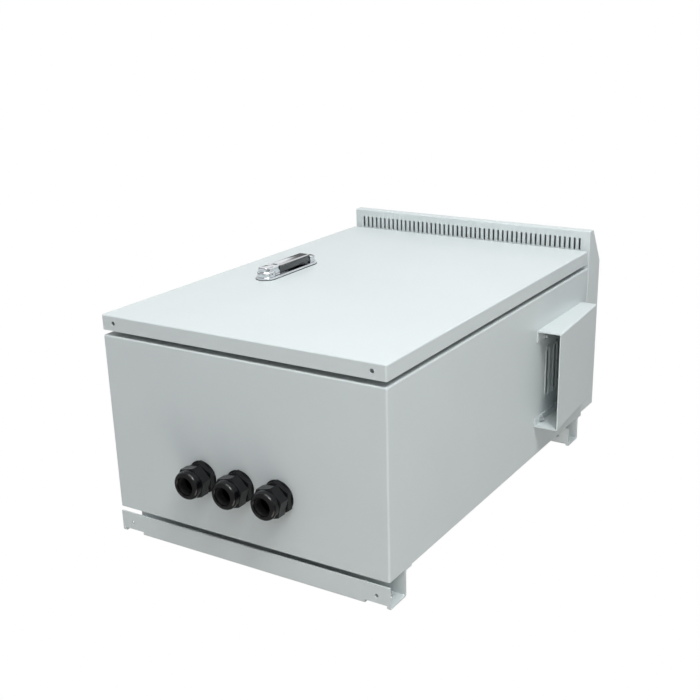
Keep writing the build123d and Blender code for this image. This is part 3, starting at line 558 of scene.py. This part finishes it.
class CABINET_OT_glands(bpy.types.Operator):
    """Model one cable gland and copy it to the others"""
    bl_idname = "cabinet.glands"
    bl_label = "Cable glands"

    def chamfered(self, name, flats, height, place, turn, chamfer):
        """Hexagon that hangs from a place, its corners turned off at the lower end."""
        corner = flats / math.sqrt(3)
        wanted = Vector((math.cos(turn), math.sin(turn), 0))
        piece = prism(name, 6, corner, height, place, DOWN, corner_turn(DOWN, wanted))
        wide = corner * 1.02
        trim = turned("trim", [(0, -MM), (wide, -MM), (wide, height - chamfer),
                               (flats / 2 * 0.985, height), (0, height)], place, DOWN, 96)
        combine(piece, trim, "INTERSECT")
        return piece

    def cap(self, s, place):
        """Domed cap nut, whose hexagon passes into a smooth rounded end."""
        total = s.cap_length
        r, rounding = s.dome_radius, s.dome_round
        bend = [(r - rounding + rounding * math.cos(a), total - rounding + rounding * math.sin(a))
                for a in [math.radians(10 * n) for n in range(10)]]
        inner = s.spigot_radius + PLAY
        lip = 0.9 * MM
        outline = [(inner, 0), (r - 1.5 * MM, 0), (r - 1.5 * MM, s.cap_hex), (r, s.cap_hex)] + bend
        mouth = s.mouth_radius
        outline += [(mouth + 1.6 * lip, total), (mouth + 0.5 * lip, total - 0.35 * lip),
                    (mouth, total - lip), (mouth, total - s.lip), (inner, total - s.lip),
                    (inner, 0)]
        piece = turned("gland_cap", outline, place, DOWN, 96)
        nut = self.chamfered("cap_hexagon", s.cap_flats, s.cap_hex, place, s.cap_turn, 1.4 * MM)
        drill(nut, 96, r - 2.2 * MM, s.cap_hex, place, DOWN)
        combine(piece, nut, "UNION")
        soften(piece, 0.28 * MM, 2, 25)
        return piece

    def body(self, s, place):
        """Threaded body: hexagon under the floor, thread through it, spigot below."""
        lowest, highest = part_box("gland_1_body")
        top, low = highest.z - place.z, place.z - lowest.z
        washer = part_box("gland_1_washer")
        flange = washer[1].z - washer[0].z
        bore = s.bore_radius + 0.8 * MM
        seat = s.seal_radius + PLAY
        seal_top = place.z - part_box("gland_1_seal")[1].z
        outline = [(bore, -top), (s.thread_radius - 1.2 * MM, -top)]
        outline += thread(s.thread_radius, -top + 0.6 * MM, -0.1 * MM, s.pitch)
        outline += [(s.thread_radius, 0), (s.thread_radius, flange + s.body_hex / 2),
                    (s.spigot_radius, flange + s.body_hex), (s.spigot_radius, low - 0.8 * MM),
                    (s.spigot_radius - 0.6 * MM, low), (seat, low), (seat, seal_top),
                    (bore, seal_top), (bore, -top)]
        piece = turned("gland_body", outline, place, DOWN, 64)
        nut = self.chamfered("body_hexagon", s.body_flats, s.body_hex, place + DOWN * flange,
                             s.body_turn, 1.2 * MM)
        drill(nut, 64, s.thread_radius - 1.5 * MM, s.body_hex, place + DOWN * flange, DOWN)
        combine(piece, nut, "UNION")
        soften(piece, 0.25 * MM, 2, 50)
        return piece

    def seal(self, s):
        """Rubber seal with fine ribs round its bore."""
        low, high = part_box("gland_1_seal")
        height = high.z - low.z
        ribs = round(height / s.rib)
        step = height / ribs
        outline = [(s.seal_radius, 0), (s.seal_radius, height)]
        for rib in range(ribs):
            at = height - rib * step
            outline += [(s.bore_radius + 0.45 * MM, at), (s.bore_radius, at - 0.4 * step),
                        (s.bore_radius, at - 0.6 * step)]
        outline += [(s.bore_radius + 0.45 * MM, 0), (s.seal_radius, 0)]
        return turned("gland_seal", outline, top_of("gland_1_seal"), DOWN, 64)

    def washer(self, s):
        low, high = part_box("gland_1_washer")
        outer, inner, thick = (high.x - low.x) / 2, s.thread_radius + PLAY, high.z - low.z
        outline = [(inner, 0), (outer - 0.3 * thick, 0), (outer, 0.3 * thick), (outer, 0.7 * thick),
                   (outer - 0.3 * thick, thick), (inner, thick), (inner, 0)]
        return turned("gland_washer", outline, top_of("gland_1_washer"), DOWN, 96)

    def locknut(self, s):
        place = top_of("gland_1_locknut")
        piece = self.chamfered("gland_locknut", s.body_flats, s.nut_height, place, s.body_turn,
                               1.2 * MM)
        drill(piece, 96, s.thread_radius + PLAY, s.nut_height, place, DOWN)
        soften(piece, 0.3 * MM)
        return piece

    def execute(self, context):
        s = sizes("glands")
        cap_top = top_of("gland_1_cap")
        floor = Vector((cap_top.x, cap_top.y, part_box("gland_1_washer")[1].z))
        first = {
            "cap": (self.cap(s, cap_top), "nylon"),
            "body": (self.body(s, floor), "nylon"),
            "seal": (self.seal(s), "rubber"),
            "washer": (self.washer(s), "rubber"),
            "locknut": (self.locknut(s), "nylon"),
        }
        for kind, (piece, finish) in first.items():
            soften(piece)
            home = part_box("gland_1_" + kind)[0]
            for n in (2, 3):
                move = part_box(f"gland_{n}_{kind}")[0] - home
                twin = copied(piece, f"gland_{kind}_{n}", move)
                finish_piece(twin, finish, [f"gland_{n}_{kind}"])
            finish_piece(piece, finish, ["gland_1_" + kind])
        return {"FINISHED"}


class CABINET_OT_fasteners(bpy.types.Operator):
    """Model each size of screw, stud and nut once and copy it to its places"""
    bl_idname = "cabinet.fasteners"
    bl_label = "Fasteners"

    def nut(self, name, flats, bore, height, place, along, turn):
        corner = flats / math.sqrt(3)
        piece = prism(name, 6, corner, height, place, along, turn)
        edge = flats / 2 * 0.97
        trim = turned("trim", [(0, 0), (edge, 0), (corner * 1.01, height * 0.16),
                               (corner * 1.01, height * 0.84), (edge, height), (0, height)],
                      place, along, 48)
        combine(piece, trim, "INTERSECT")
        if bore:
            drill(piece, 32, bore, height, place, along)
        soften(piece)
        return piece

    def stud(self, name, radius, height, pitch, place, along, plain=0.0):
        """Threaded stud with a chamfered tip."""
        tip = radius * 0.25
        outline = [(0, 0), (radius * 0.87, 0)]
        if plain:
            outline += [(radius * 0.87, plain)]
        outline += thread(radius, plain, height - tip, pitch)[1:]
        outline += [(radius * 0.7, height), (0, height)]
        piece = turned(name, outline, place, along, sizes("fasteners").sides)
        soften(piece)
        return piece

    def spread_out(self, piece, home, places, name):
        """Copy a piece from its home to the other places and join the copies."""
        parts = [piece]
        for n, place in enumerate(places):
            if (place - home).length > MM:
                parts.append(copied(piece, f"{name}_{n}", place - home))
        return joined(parts, name)

    def execute(self, context):
        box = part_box
        # four like pieces each: the nuts, what they are on, the thread's radius in millimetres
        # and direction, and the kind of head
        rows = [
            ("rail_nuts", "rail_bolts", 2.5, OUT, "hexagon"),
            ("hood_nuts", "hood_bolts", 2.5, UP, "round"),
            ("side_hood_nuts", "side_hood_studs", 2.5, RIGHT, None),
            ("vent_nuts", "vent_studs", 2.0, LEFT, None),
            ("fan_nuts", "fan_screws", 2.0, DOWN, "round"),
            ("plate_nuts", "plate_studs", 4.0, OUT, "shoulder"),
        ]
        for nuts, bolts, radius_mm, along, head in rows:
            radius = radius_mm * MM
            low, high = box(nuts)
            axis = max(range(3), key=lambda n: abs(along[n]))
            height = high[axis] - low[axis]
            flats = 13.0 * MM if head == "shoulder" else 4 * radius * 0.8
            corner = flats / math.sqrt(3)
            # the CAD's hexagons have corners on the first direction across the thread
            first = 1 if axis == 0 else 0
            second = 3 - axis - first
            start = low[axis] if along[axis] > 0 else high[axis]
            places = []
            for x in (low[first] + corner, high[first] - corner):
                for y in (low[second] + flats / 2, high[second] - flats / 2):
                    place = Vector((0, 0, 0))
                    place[axis], place[first], place[second] = start, x, y
                    places.append(place)
            turn = corner_turn(along, (RIGHT, IN)[first])
            nut = self.nut(nuts + "_cut", flats, radius * 1.01, height, places[0], along, turn)
            nut = self.spread_out(nut, places[0], places, nuts + "_cut")
            finish_piece(nut, "zinc", [nuts])

            foot, end = sorted([corner[axis] for corner in box(bolts)], reverse=along[axis] < 0)
            long = abs(end - foot)
            home = places[0].copy()
            home[axis] = foot
            parts = []
            if head == "round":
                thick = radius
                cover = turned("head", [(0, 0), (radius * 1.3, 0), (radius * 1.8, thick * 0.35),
                                        (radius * 2, thick * 0.75), (radius * 2, thick),
                                        (0, thick)],
                               home, along, 32)
                recess = prism("recess", 6, radius * 0.75, thick * 0.6, home - along * thick * 0.05,
                               along)
                combine(cover, recess, "DIFFERENCE")
                parts.append(cover)
            elif head == "hexagon":
                thick = 3.5 * MM
                parts.append(self.nut("head", flats, 0, thick, home, along, turn))
            elif head == "shoulder":
                thick = 15.0 * MM
                wide = radius + 2 * MM
                parts.append(turned("head", [(0, 0), (wide, 0), (wide, thick - 0.5 * MM),
                                             (wide - 0.5 * MM, thick), (0, thick)],
                                    home, along, 32))
            else:
                thick = 0.0
            inside = thick * 0.5
            rod = self.stud("rod", radius, long - inside, 0.35 * radius,
                            home + along * inside, along, inside)
            if parts:
                combine(rod, parts[0], "UNION")
            soften(rod)
            for place in places:
                place[axis] = foot
            rod = self.spread_out(rod, home, places, bolts + "_cut")
            finish_piece(rod, "zinc", [bolts])

        # earth stud with its nut, lock nut
        low, high, middle = span("earth_nut")
        home = Vector((middle.x, high.y, middle.z))
        nut = self.nut("earth_nut_cut", 13.0 * MM, 4 * MM + PLAY, high.y - low.y, home, OUT,
                       corner_turn(OUT, RIGHT))
        finish_piece(nut, "brass", ["earth_nut"])
        low, high = box("earth_stud")
        stud = self.stud("earth_stud_cut", 4.0 * MM, high.y - low.y, 1.25 * MM, home, OUT)
        finish_piece(stud, "brass", ["earth_stud"])
        low, high, middle = span("lock_nut")
        nut = self.nut("lock_nut_cut", 27.0 * MM, 10 * MM + PLAY, high.y - low.y,
                       Vector((middle.x, low.y, middle.z)), IN, corner_turn(IN, RIGHT))
        finish_piece(nut, "zinc", ["lock_nut"], "door")
        return {"FINISHED"}


class CABINET_OT_screen(bpy.types.Operator):
    """Weave the insect mesh behind the side vents"""
    bl_idname = "cabinet.screen"
    bl_label = "Insect mesh"

    def repeat(self, piece, count, step, **values):
        apply(piece, "ARRAY", count=count, use_relative_offset=False, use_constant_offset=True,
              constant_offset_displace=step, **values)

    def wires(self, name, along, across, start, run, wide, phase):
        """A row of wavy wires: one period of two wires, repeated both ways."""
        s = sizes("mesh")
        periods = max(1, round(run / (2 * s.pitch)))
        step = run / periods
        pairs = max(1, round(wide / (2 * s.pitch)))
        pair_step = wide / pairs
        swing = s.wire / 2
        parts = []
        for side in (0, 1):
            deselect()
            bpy.ops.mesh.primitive_circle_add(vertices=5, radius=s.wire / 2, fill_type="NOTHING")
            bpy.ops.object.transform_apply()
            wire = put("wire", start + across * (side + 0.5) * pair_step / 2, along)
            height = [swing * math.cos(2 * math.pi * k / 6 + math.pi * (side + phase))
                      for k in range(7)]
            with editing(wire):
                everything()
                bpy.ops.transform.translate(value=RIGHT * height[0])
                for k in range(6):
                    bpy.ops.mesh.extrude_edges_move(TRANSFORM_OT_translate={
                        "value": along * step / 6 + RIGHT * (height[k + 1] - height[k])})
            parts.append(wire)
        piece = joined(parts, name)
        self.repeat(piece, periods, along * step, use_merge_vertices=True,
                    merge_threshold=0.005 * MM)
        self.repeat(piece, pairs, across * pair_step)
        with editing(piece):
            everything()
            bpy.ops.mesh.region_to_loop()
            bpy.ops.mesh.edge_face_add()
        return piece

    def execute(self, context):
        low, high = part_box("vent_mesh")
        size = high - low
        middle = (low.x + high.x) / 2
        start = Vector((middle, low.y, low.z))
        upright = self.wires("mesh_upright", UP, Vector((0, 1, 0)), start, size.z, size.y, 0)
        level = self.wires("mesh_level", Vector((0, 1, 0)), UP, start, size.y, size.z, 1)
        piece = joined([upright, level], "woven_mesh")
        choose(piece)
        bpy.ops.object.shade_smooth()
        finish_piece(piece, "wire", ["vent_mesh"])
        return {"FINISHED"}


class CABINET_OT_gasket(bpy.types.Operator):
    """Model the door's foam gasket as a rounded strip"""
    bl_idname = "cabinet.gasket"
    bl_label = "Door gasket"

    def execute(self, context):
        s = sizes("gasket")
        low, high, middle = span("door_gasket")
        size = high - low
        deselect()
        bpy.ops.mesh.primitive_plane_add(size=1, location=(middle.x, low.y, middle.z),
                                         rotation=(math.radians(-90), 0, 0))
        piece = bpy.context.object
        piece.scale = (size.x, size.z, 1)
        piece = settle("foam_gasket")
        with editing(piece):
            everything()
            bpy.ops.mesh.inset(thickness=s.width)
            bpy.ops.mesh.delete(type="FACE")
            everything()
            bpy.ops.mesh.extrude_region_move(TRANSFORM_OT_translate={"value": (0, size.y, 0)})
            face_outwards()
            pick(piece, "EDGE", lambda at: at.y > high.y - NEAR
                 and min(abs(at.x - low.x), abs(at.x - high.x), abs(at.z - low.z),
                         abs(at.z - high.z)) < s.width + MM)
            bpy.ops.mesh.bevel(offset=s.rounding, segments=5)
        soften(piece)
        finish_piece(piece, "rubber", ["door_gasket"], "door")
        return {"FINISHED"}


class CABINET_OT_guard(bpy.types.Operator):
    """Bend the fan's finger guard from wire"""
    bl_idname = "cabinet.guard"
    bl_label = "Fan guard"

    def ring(self, name, place, radius, wire, steps):
        deselect()
        bpy.ops.mesh.primitive_torus_add(major_radius=radius, minor_radius=wire / 2,
                                         major_segments=steps, minor_segments=8, location=place)
        return settle(name)

    def execute(self, context):
        s = sizes("guard")
        low, high, middle = span("fan_guard")
        parts = []
        for ring in range(s.rings):
            radius = s.radius - s.wire / 2 - ring * (s.radius - s.hub) / s.rings
            place = Vector((middle.x, middle.y, high.z - s.wire / 2))
            parts.append(self.ring(f"guard_ring_{ring}", place, radius, s.wire, 72))
        half = s.pitch / math.sqrt(2)
        bar = half - s.bar_end
        for turn in (45, 135):
            a = math.radians(turn)
            along = Vector((math.cos(a), math.sin(a), 0))
            start = Vector((middle.x, middle.y, low.z + s.wire / 2)) - along * bar
            parts.append(prism(f"guard_bar_{turn}", 10, s.wire / 2, 2 * bar, start, along))
            for end in (-1, 1):
                parts.append(self.ring(f"guard_eye_{turn}_{end}", middle + along * half * end,
                                       s.eye, s.wire, 28))
        piece = joined(parts, "wire_guard")
        choose(piece)
        bpy.ops.object.shade_smooth()
        finish_piece(piece, "zinc", ["fan_guard"])
        return {"FINISHED"}


class CABINET_OT_lock(bpy.types.Operator):
    """Model the lever lock's base, head, button and lever"""
    bl_idname = "cabinet.lock"
    bl_label = "Lever lock"

    def slotted(self, name, low, high, back, front):
        """Plate with two round ends between two corners, from one depth to another."""
        radius = (high.x - low.x) / 2
        start = Vector(((low.x + high.x) / 2, back, low.z + radius))
        piece = prism(name, 64, radius, back - front, start, OUT)
        with editing(piece):
            pick(piece, "VERT", lambda at: at.z > start.z + 0.1 * NEAR)
            bpy.ops.transform.translate(value=(0, 0, (high.z - low.z) - 2 * radius))
        return piece

    def pick_front(self, piece, front):
        pick(piece, "FACE", lambda at, normal: normal.y < -0.99 and at.y < front + NEAR)

    def round_front(self, piece, front, width, segments):
        """Round the edge of a piece's front face."""
        with editing(piece):
            self.pick_front(piece, front)
            bpy.ops.mesh.region_to_loop()
            bpy.ops.mesh.bevel(offset=width, segments=segments)

    def base(self, s, spindle, back, front, reach):
        """Base plate with a sunk face, the wedge beyond the lever's end and the neck."""
        low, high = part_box("lock_base")
        plate = self.slotted("lock_plate", low, high, back, front)
        self.round_front(plate, front, s.edge, 4)
        with editing(plate):
            self.pick_front(plate, front)
            bpy.ops.mesh.inset(thickness=0.7 * MM)
            bpy.ops.mesh.inset(thickness=0.3 * MM, depth=-0.4 * MM)
        half = s.wedge_width / 2
        wedge = self.slotted("wedge", Vector((spindle.x - half, 0, spindle.z)),
                             Vector((spindle.x + half, 0, high.z - s.wedge_inset)),
                             front + 0.5 * s.edge, low.y)
        space = prism("space", 128, reach + 0.4 * MM, 40 * MM,
                      spindle + IN * (front + 20 * MM), OUT)
        combine(wedge, space, "DIFFERENCE")
        with editing(wedge):
            pick(wedge, "VERT", lambda at: at.y < low.y + NEAR and
                 (at - spindle).z > reach + 1.5 * MM)
            bpy.ops.transform.translate(value=(0, s.wedge_slope, 0))
        soften(wedge, 1.0 * MM, 3, 35)
        combine(plate, wedge, "UNION")
        neck_end = high.y - back
        radius = s.neck_radius
        bore = s.stem_radius + PLAY
        hole = prism("hole", 48, bore, 20 * MM, spindle + IN * (back + 10 * MM), OUT)
        combine(plate, hole, "DIFFERENCE")
        outline = [(bore, -MM), (radius * 0.9, -MM)] + thread(radius, 0.3 * MM, neck_end, 1.2 * MM)
        outline += [(bore, neck_end), (bore, -MM)]
        neck = turned("neck", outline, spindle + IN * back, IN, 48)
        combine(plate, neck, "UNION")
        soften(plate)
        finish_piece(plate, "chrome", ["lock_base"], "door")

    def head(self, s, spindle, front, button):
        """Round boss with the faceted block that holds the button and the lever's pin."""
        low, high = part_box("lock_head")
        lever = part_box("lock_lever")
        boss_front = front + (low.y - front) * 0.62
        rise, radius = front - boss_front, s.boss_radius
        outline = [(0, PLAY), (radius - 0.4 * MM, PLAY), (radius, 0.8 * MM),
                   (radius - 0.5 * MM, rise - 1.4 * MM), (radius - 1.9 * MM, rise), (0, rise)]
        boss = turned("boss", outline, spindle + IN * front, OUT, 96)
        half = s.head_width / 2
        top = lever[0].z + 2.6 * MM
        block = self.block_with_facets(s, Vector((spindle.x - half, low.y, spindle.z - half)),
                                       Vector((spindle.x + half, front - PLAY, top)))
        combine(boss, block, "UNION")
        soften(boss, 0.3 * MM, 2, 30)
        clear = Vector((0.2 * MM, 0, 0.2 * MM))
        pocket = self.keyed("pocket", button[0] - clear, button[1] + clear,
                            button[1].y + 2.2 * MM, low.y - 5 * MM)
        combine(boss, pocket, "DIFFERENCE")
        lug_place = Vector((spindle.x - 3.5 * MM, lever[0].y + s.knuckle_radius, top + 0.6 * MM))
        lug = prism("lug", 32, 2.9 * MM, 7 * MM, lug_place, RIGHT)
        combine(boss, lug, "UNION")
        radius, square, end = s.stem_radius, 4.0 * MM, high.y - front
        stem = turned("stem", [(0, 0), (radius - 0.5 * MM, 0), (radius, 0.5 * MM),
                               (radius, 18.0 * MM), (square, 18.0 * MM), (square, end), (0, end)],
                      spindle + IN * (front - 0.5 * MM), IN, 48)
        combine(boss, stem, "UNION")
        soften(boss)
        finish_piece(boss, "chrome", ["lock_head"], "lock_head")

    def block_with_facets(self, s, low, high):
        """Block whose front narrows in flat facets."""
        piece = block("head_block", low, high)
        with editing(piece):
            pick(piece, "EDGE", lambda at: at.z < low.z + NEAR and abs(at.x - (low.x + high.x) / 2)
                 > (high.x - low.x) * 0.4)
            bpy.ops.mesh.bevel(offset=s.head_width * 0.32, segments=3)
            pick(piece, "FACE", lambda at, normal: normal.y < -0.99)
            bpy.ops.mesh.inset(thickness=s.facet)
            pick(piece, "VERT", lambda at: at.y < low.y + NEAR and
                 (at.x < low.x + 0.5 * s.facet or at.x > high.x - 0.5 * s.facet
                  or at.z < low.z + 0.5 * s.facet or at.z > high.z - 0.5 * s.facet))
            bpy.ops.transform.translate(value=(0, s.facet, 0))
        return piece

    def keyed(self, name, low, high, back, front):
        """Oblong with rounded corners between two corners of a box."""
        piece = block(name, Vector((low.x, front, low.z)), Vector((high.x, back, high.z)))
        middle = (low + high) / 2
        with editing(piece):
            pick(piece, "EDGE", lambda at: abs(at.x - middle.x) > (high.x - low.x) * 0.4
                 and abs(at.z - middle.z) > (high.z - low.z) * 0.4)
            bpy.ops.mesh.bevel(offset=3 * MM, segments=6)
        return piece

    def lever(self, s, spindle, reach):
        """Bar with a rounded back, whose far end is round about the spindle."""
        low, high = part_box("lock_lever")
        bottom, thick = high.y, high.y - low.y
        half = (high.x - low.x) / 2
        bend = [(half - s.lever_round + s.lever_round * math.sin(a),
                 thick - s.lever_round + s.lever_round * math.cos(a))
                for a in [math.radians(15 * n) for n in range(7)]]
        outline = [(-x, y) for x, y in reversed(bend)] + [(0, thick)] + bend
        outline = [(-half, 0)] + outline + [(half, 0), (half - 2 * MM, 0), (half - 3 * MM, 2 * MM),
                                            (3 * MM - half, 2 * MM), (2 * MM - half, 0)]
        round_end = s.knuckle_radius
        place = Vector((spindle.x, bottom, low.z + round_end))
        draw([Vector((x, -rise, 0)) for x, rise in outline])
        bpy.ops.mesh.edge_face_add()
        everything()
        bpy.ops.mesh.extrude_region_move(
            TRANSFORM_OT_translate={"value": (0, 0, high.z - low.z + 5 * MM)})
        face_outwards()
        bpy.ops.object.mode_set(mode="OBJECT")
        piece = bpy.context.object
        piece.location = place
        piece = settle("lever_bar")
        disc = prism("disc", 160, reach, 40 * MM, spindle + IN * (high.y + 10 * MM), OUT)
        combine(piece, disc, "INTERSECT")
        knuckle = prism("knuckle", 32, round_end, high.x - low.x,
                        Vector((low.x, low.y + round_end, low.z + round_end)), RIGHT)
        combine(piece, knuckle, "UNION")
        slot = block("slot", Vector((spindle.x - 3.8 * MM, low.y - 5 * MM, low.z - 5 * MM)),
                     Vector((spindle.x + 3.8 * MM, high.y + 5 * MM, low.z + 6.7 * MM)))
        combine(piece, slot, "DIFFERENCE")
        soften(piece, 0.3 * MM, 2, 40)
        finish_piece(piece, "lever", ["lock_lever"], "lever")

    def execute(self, context):
        s = sizes("lock")
        *button, middle = span("lock_button")
        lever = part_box("lock_lever")
        spindle = Vector((middle.x, 0, middle.z))
        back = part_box("lock_gasket")[0].y
        front = back - s.plate
        reach = lever[1].z - spindle.z
        self.base(s, spindle, back, front, reach)
        self.head(s, spindle, front, button)
        self.lever(s, spindle, reach)
        cap = self.keyed("button_cap", button[0], button[1], button[1].y, button[0].y)
        self.round_front(cap, button[0].y, s.button_bevel, 3)
        soften(cap)
        finish_piece(cap, "chrome", ["lock_button"], "button")
        return {"FINISHED"}


class CABINET_OT_stage(bpy.types.Operator):
    """Set up the floor, the soft lights, the white surroundings and the camera"""
    bl_idname = "cabinet.stage"
    bl_label = "Stage"

    def light(self, name, place, target, size, power):
        deselect()
        bpy.ops.object.light_add(type="AREA", location=place)
        lamp = bpy.context.object
        lamp.name = name
        lamp.data.size = size
        lamp.data.energy = power
        lamp.rotation_euler = facing(Vector(place) - Vector(target))
        return lamp

    def execute(self, context):
        s = sizes("stage")
        scene = context.scene
        deselect()
        bpy.ops.mesh.primitive_plane_add(size=14, location=(0, 0, -s.floor_drop))
        floor = settle("floor")
        material, tree, shader = start_finish("pale_floor")
        cloud = pattern(tree, "Noise", 3.0, Detail=3.0)
        shades(tree, cloud.outputs["Fac"], shader, (0.82, 0.82, 0.82), 0.01)
        shader.inputs["Roughness"].default_value = 0.8
        floor.data.materials.append(material)

        body, door = (0, -0.15, 0), (0, -0.3, 0)
        lower_right, warm = (0.1, -0.1, -0.1), (1.0, 0.9, 0.8)
        self.light("key_light", (1.45, -2.5, -1.15), body, 1.0, s.key)
        self.light("door_light", (0.3, -2.7, -0.6), door, 1.6, s.door)
        bounce = self.light("bounce_light", (1.0, 1.3, -1.2), lower_right, 1.4, s.bounce)
        bounce.data.color = warm

        world = bpy.data.worlds.new("white_surroundings")
        scene.world = world
        world.use_nodes = True
        tree = world.node_tree
        soft = tree.nodes["Background"]
        soft.inputs["Color"].default_value = (0.97, 0.985, 1, 1)
        white = node(tree, "Background", Color=(1, 1, 1, 1), Strength=1.0)
        path = node(tree, "LightPath")
        matt = spread(tree, path.outputs["Is Glossy Ray"], s.sky, 0.0, 0.0, 1.0)
        link(matt, soft.inputs["Strength"])
        first = node(tree, "Math", operation="MAXIMUM")
        second = node(tree, "Math", operation="MAXIMUM")
        mix = node(tree, "MixShader")
        # reflections show the white room before the door, and a dim one elsewhere
        dim_room = 0.16
        way = node(tree, "TexCoord")
        split = node(tree, "SeparateXYZ")
        shine = node(tree, "Math", operation="MULTIPLY")
        link(way.outputs["Generated"], split.inputs[0])
        room = spread(tree, split.outputs["Y"], 1.0, dim_room, -0.27, -0.05,
                      interpolation_type="SMOOTHSTEP")
        link(room, shine.inputs[0])
        link(path.outputs["Is Glossy Ray"], shine.inputs[1])
        link(path.outputs["Is Camera Ray"], first.inputs[0])
        link(shine.outputs[0], first.inputs[1])
        link(first.outputs[0], second.inputs[0])
        link(path.outputs["Is Transmission Ray"], second.inputs[1])
        link(second.outputs[0], mix.inputs["Fac"])
        link(soft.outputs[0], mix.inputs[1])
        link(white.outputs[0], mix.inputs[2])
        link(mix.outputs[0], tree.nodes["World Output"].inputs["Surface"])

        # the camera's own directions in the cabinet's frame
        right = Vector((0.856394, 0.017206, 0.516036))
        up = Vector((-0.162052, -0.939986, 0.300277))
        back = Vector((0.490233, -0.340780, -0.802210))
        deselect()
        bpy.ops.object.camera_add()
        camera = bpy.context.object
        turn = Matrix((right, up, back)).transposed().to_4x4()
        camera.matrix_world = Matrix.Translation((0.74295, -0.65579, -1.20098)) @ turn
        camera.data.lens = 56.167
        camera.data.sensor_width = 36.0
        camera.data.shift_x = -0.03535
        camera.data.shift_y = 0.04792
        camera.data.clip_start = 0.05
        scene.camera = camera
        scene.view_settings.view_transform = "Standard"
        return {"FINISHED"}


class CABINET_PT_panel(bpy.types.Panel):
    """Steps that dress the cabinet, in order"""
    bl_idname = "CABINET_PT_panel"
    bl_label = "Cabinet"
    bl_space_type = "VIEW_3D"
    bl_region_type = "UI"
    bl_category = "Cabinet"

    def draw(self, context):
        for step in STEPS:
            self.layout.operator(step.bl_idname)


GROUPS = {
    "finishes": CabinetFinishes,
    "glands": GlandSizes,
    "lock": LockSizes,
    "fasteners": FastenerSizes,
    "mesh": MeshSizes,
    "gasket": GasketSizes,
    "guard": GuardSizes,
    "stage": StageSizes,
}
STEPS = [CABINET_OT_finishes, CABINET_OT_glands, CABINET_OT_fasteners, CABINET_OT_screen,
         CABINET_OT_gasket, CABINET_OT_guard, CABINET_OT_lock, CABINET_OT_stage]


def register():
    for made in [*GROUPS.values(), *STEPS, CABINET_PT_panel]:
        bpy.utils.register_class(made)
    for name, group in GROUPS.items():
        setattr(bpy.types.Scene, "cabinet_" + name, PointerProperty(type=group))


def unregister():
    for name in GROUPS:
        delattr(bpy.types.Scene, "cabinet_" + name)
    for made in reversed([*GROUPS.values(), *STEPS, CABINET_PT_panel]):
        bpy.utils.unregister_class(made)


def main():
    register()
    bpy.ops.cabinet.finishes()
    bpy.ops.cabinet.glands()
    bpy.ops.cabinet.fasteners()
    bpy.ops.cabinet.screen()
    bpy.ops.cabinet.gasket()
    bpy.ops.cabinet.guard()
    bpy.ops.cabinet.lock()
    bpy.ops.cabinet.stage()
    bpy.context.view_layer.update()


if __name__ == "__main__":
    main()
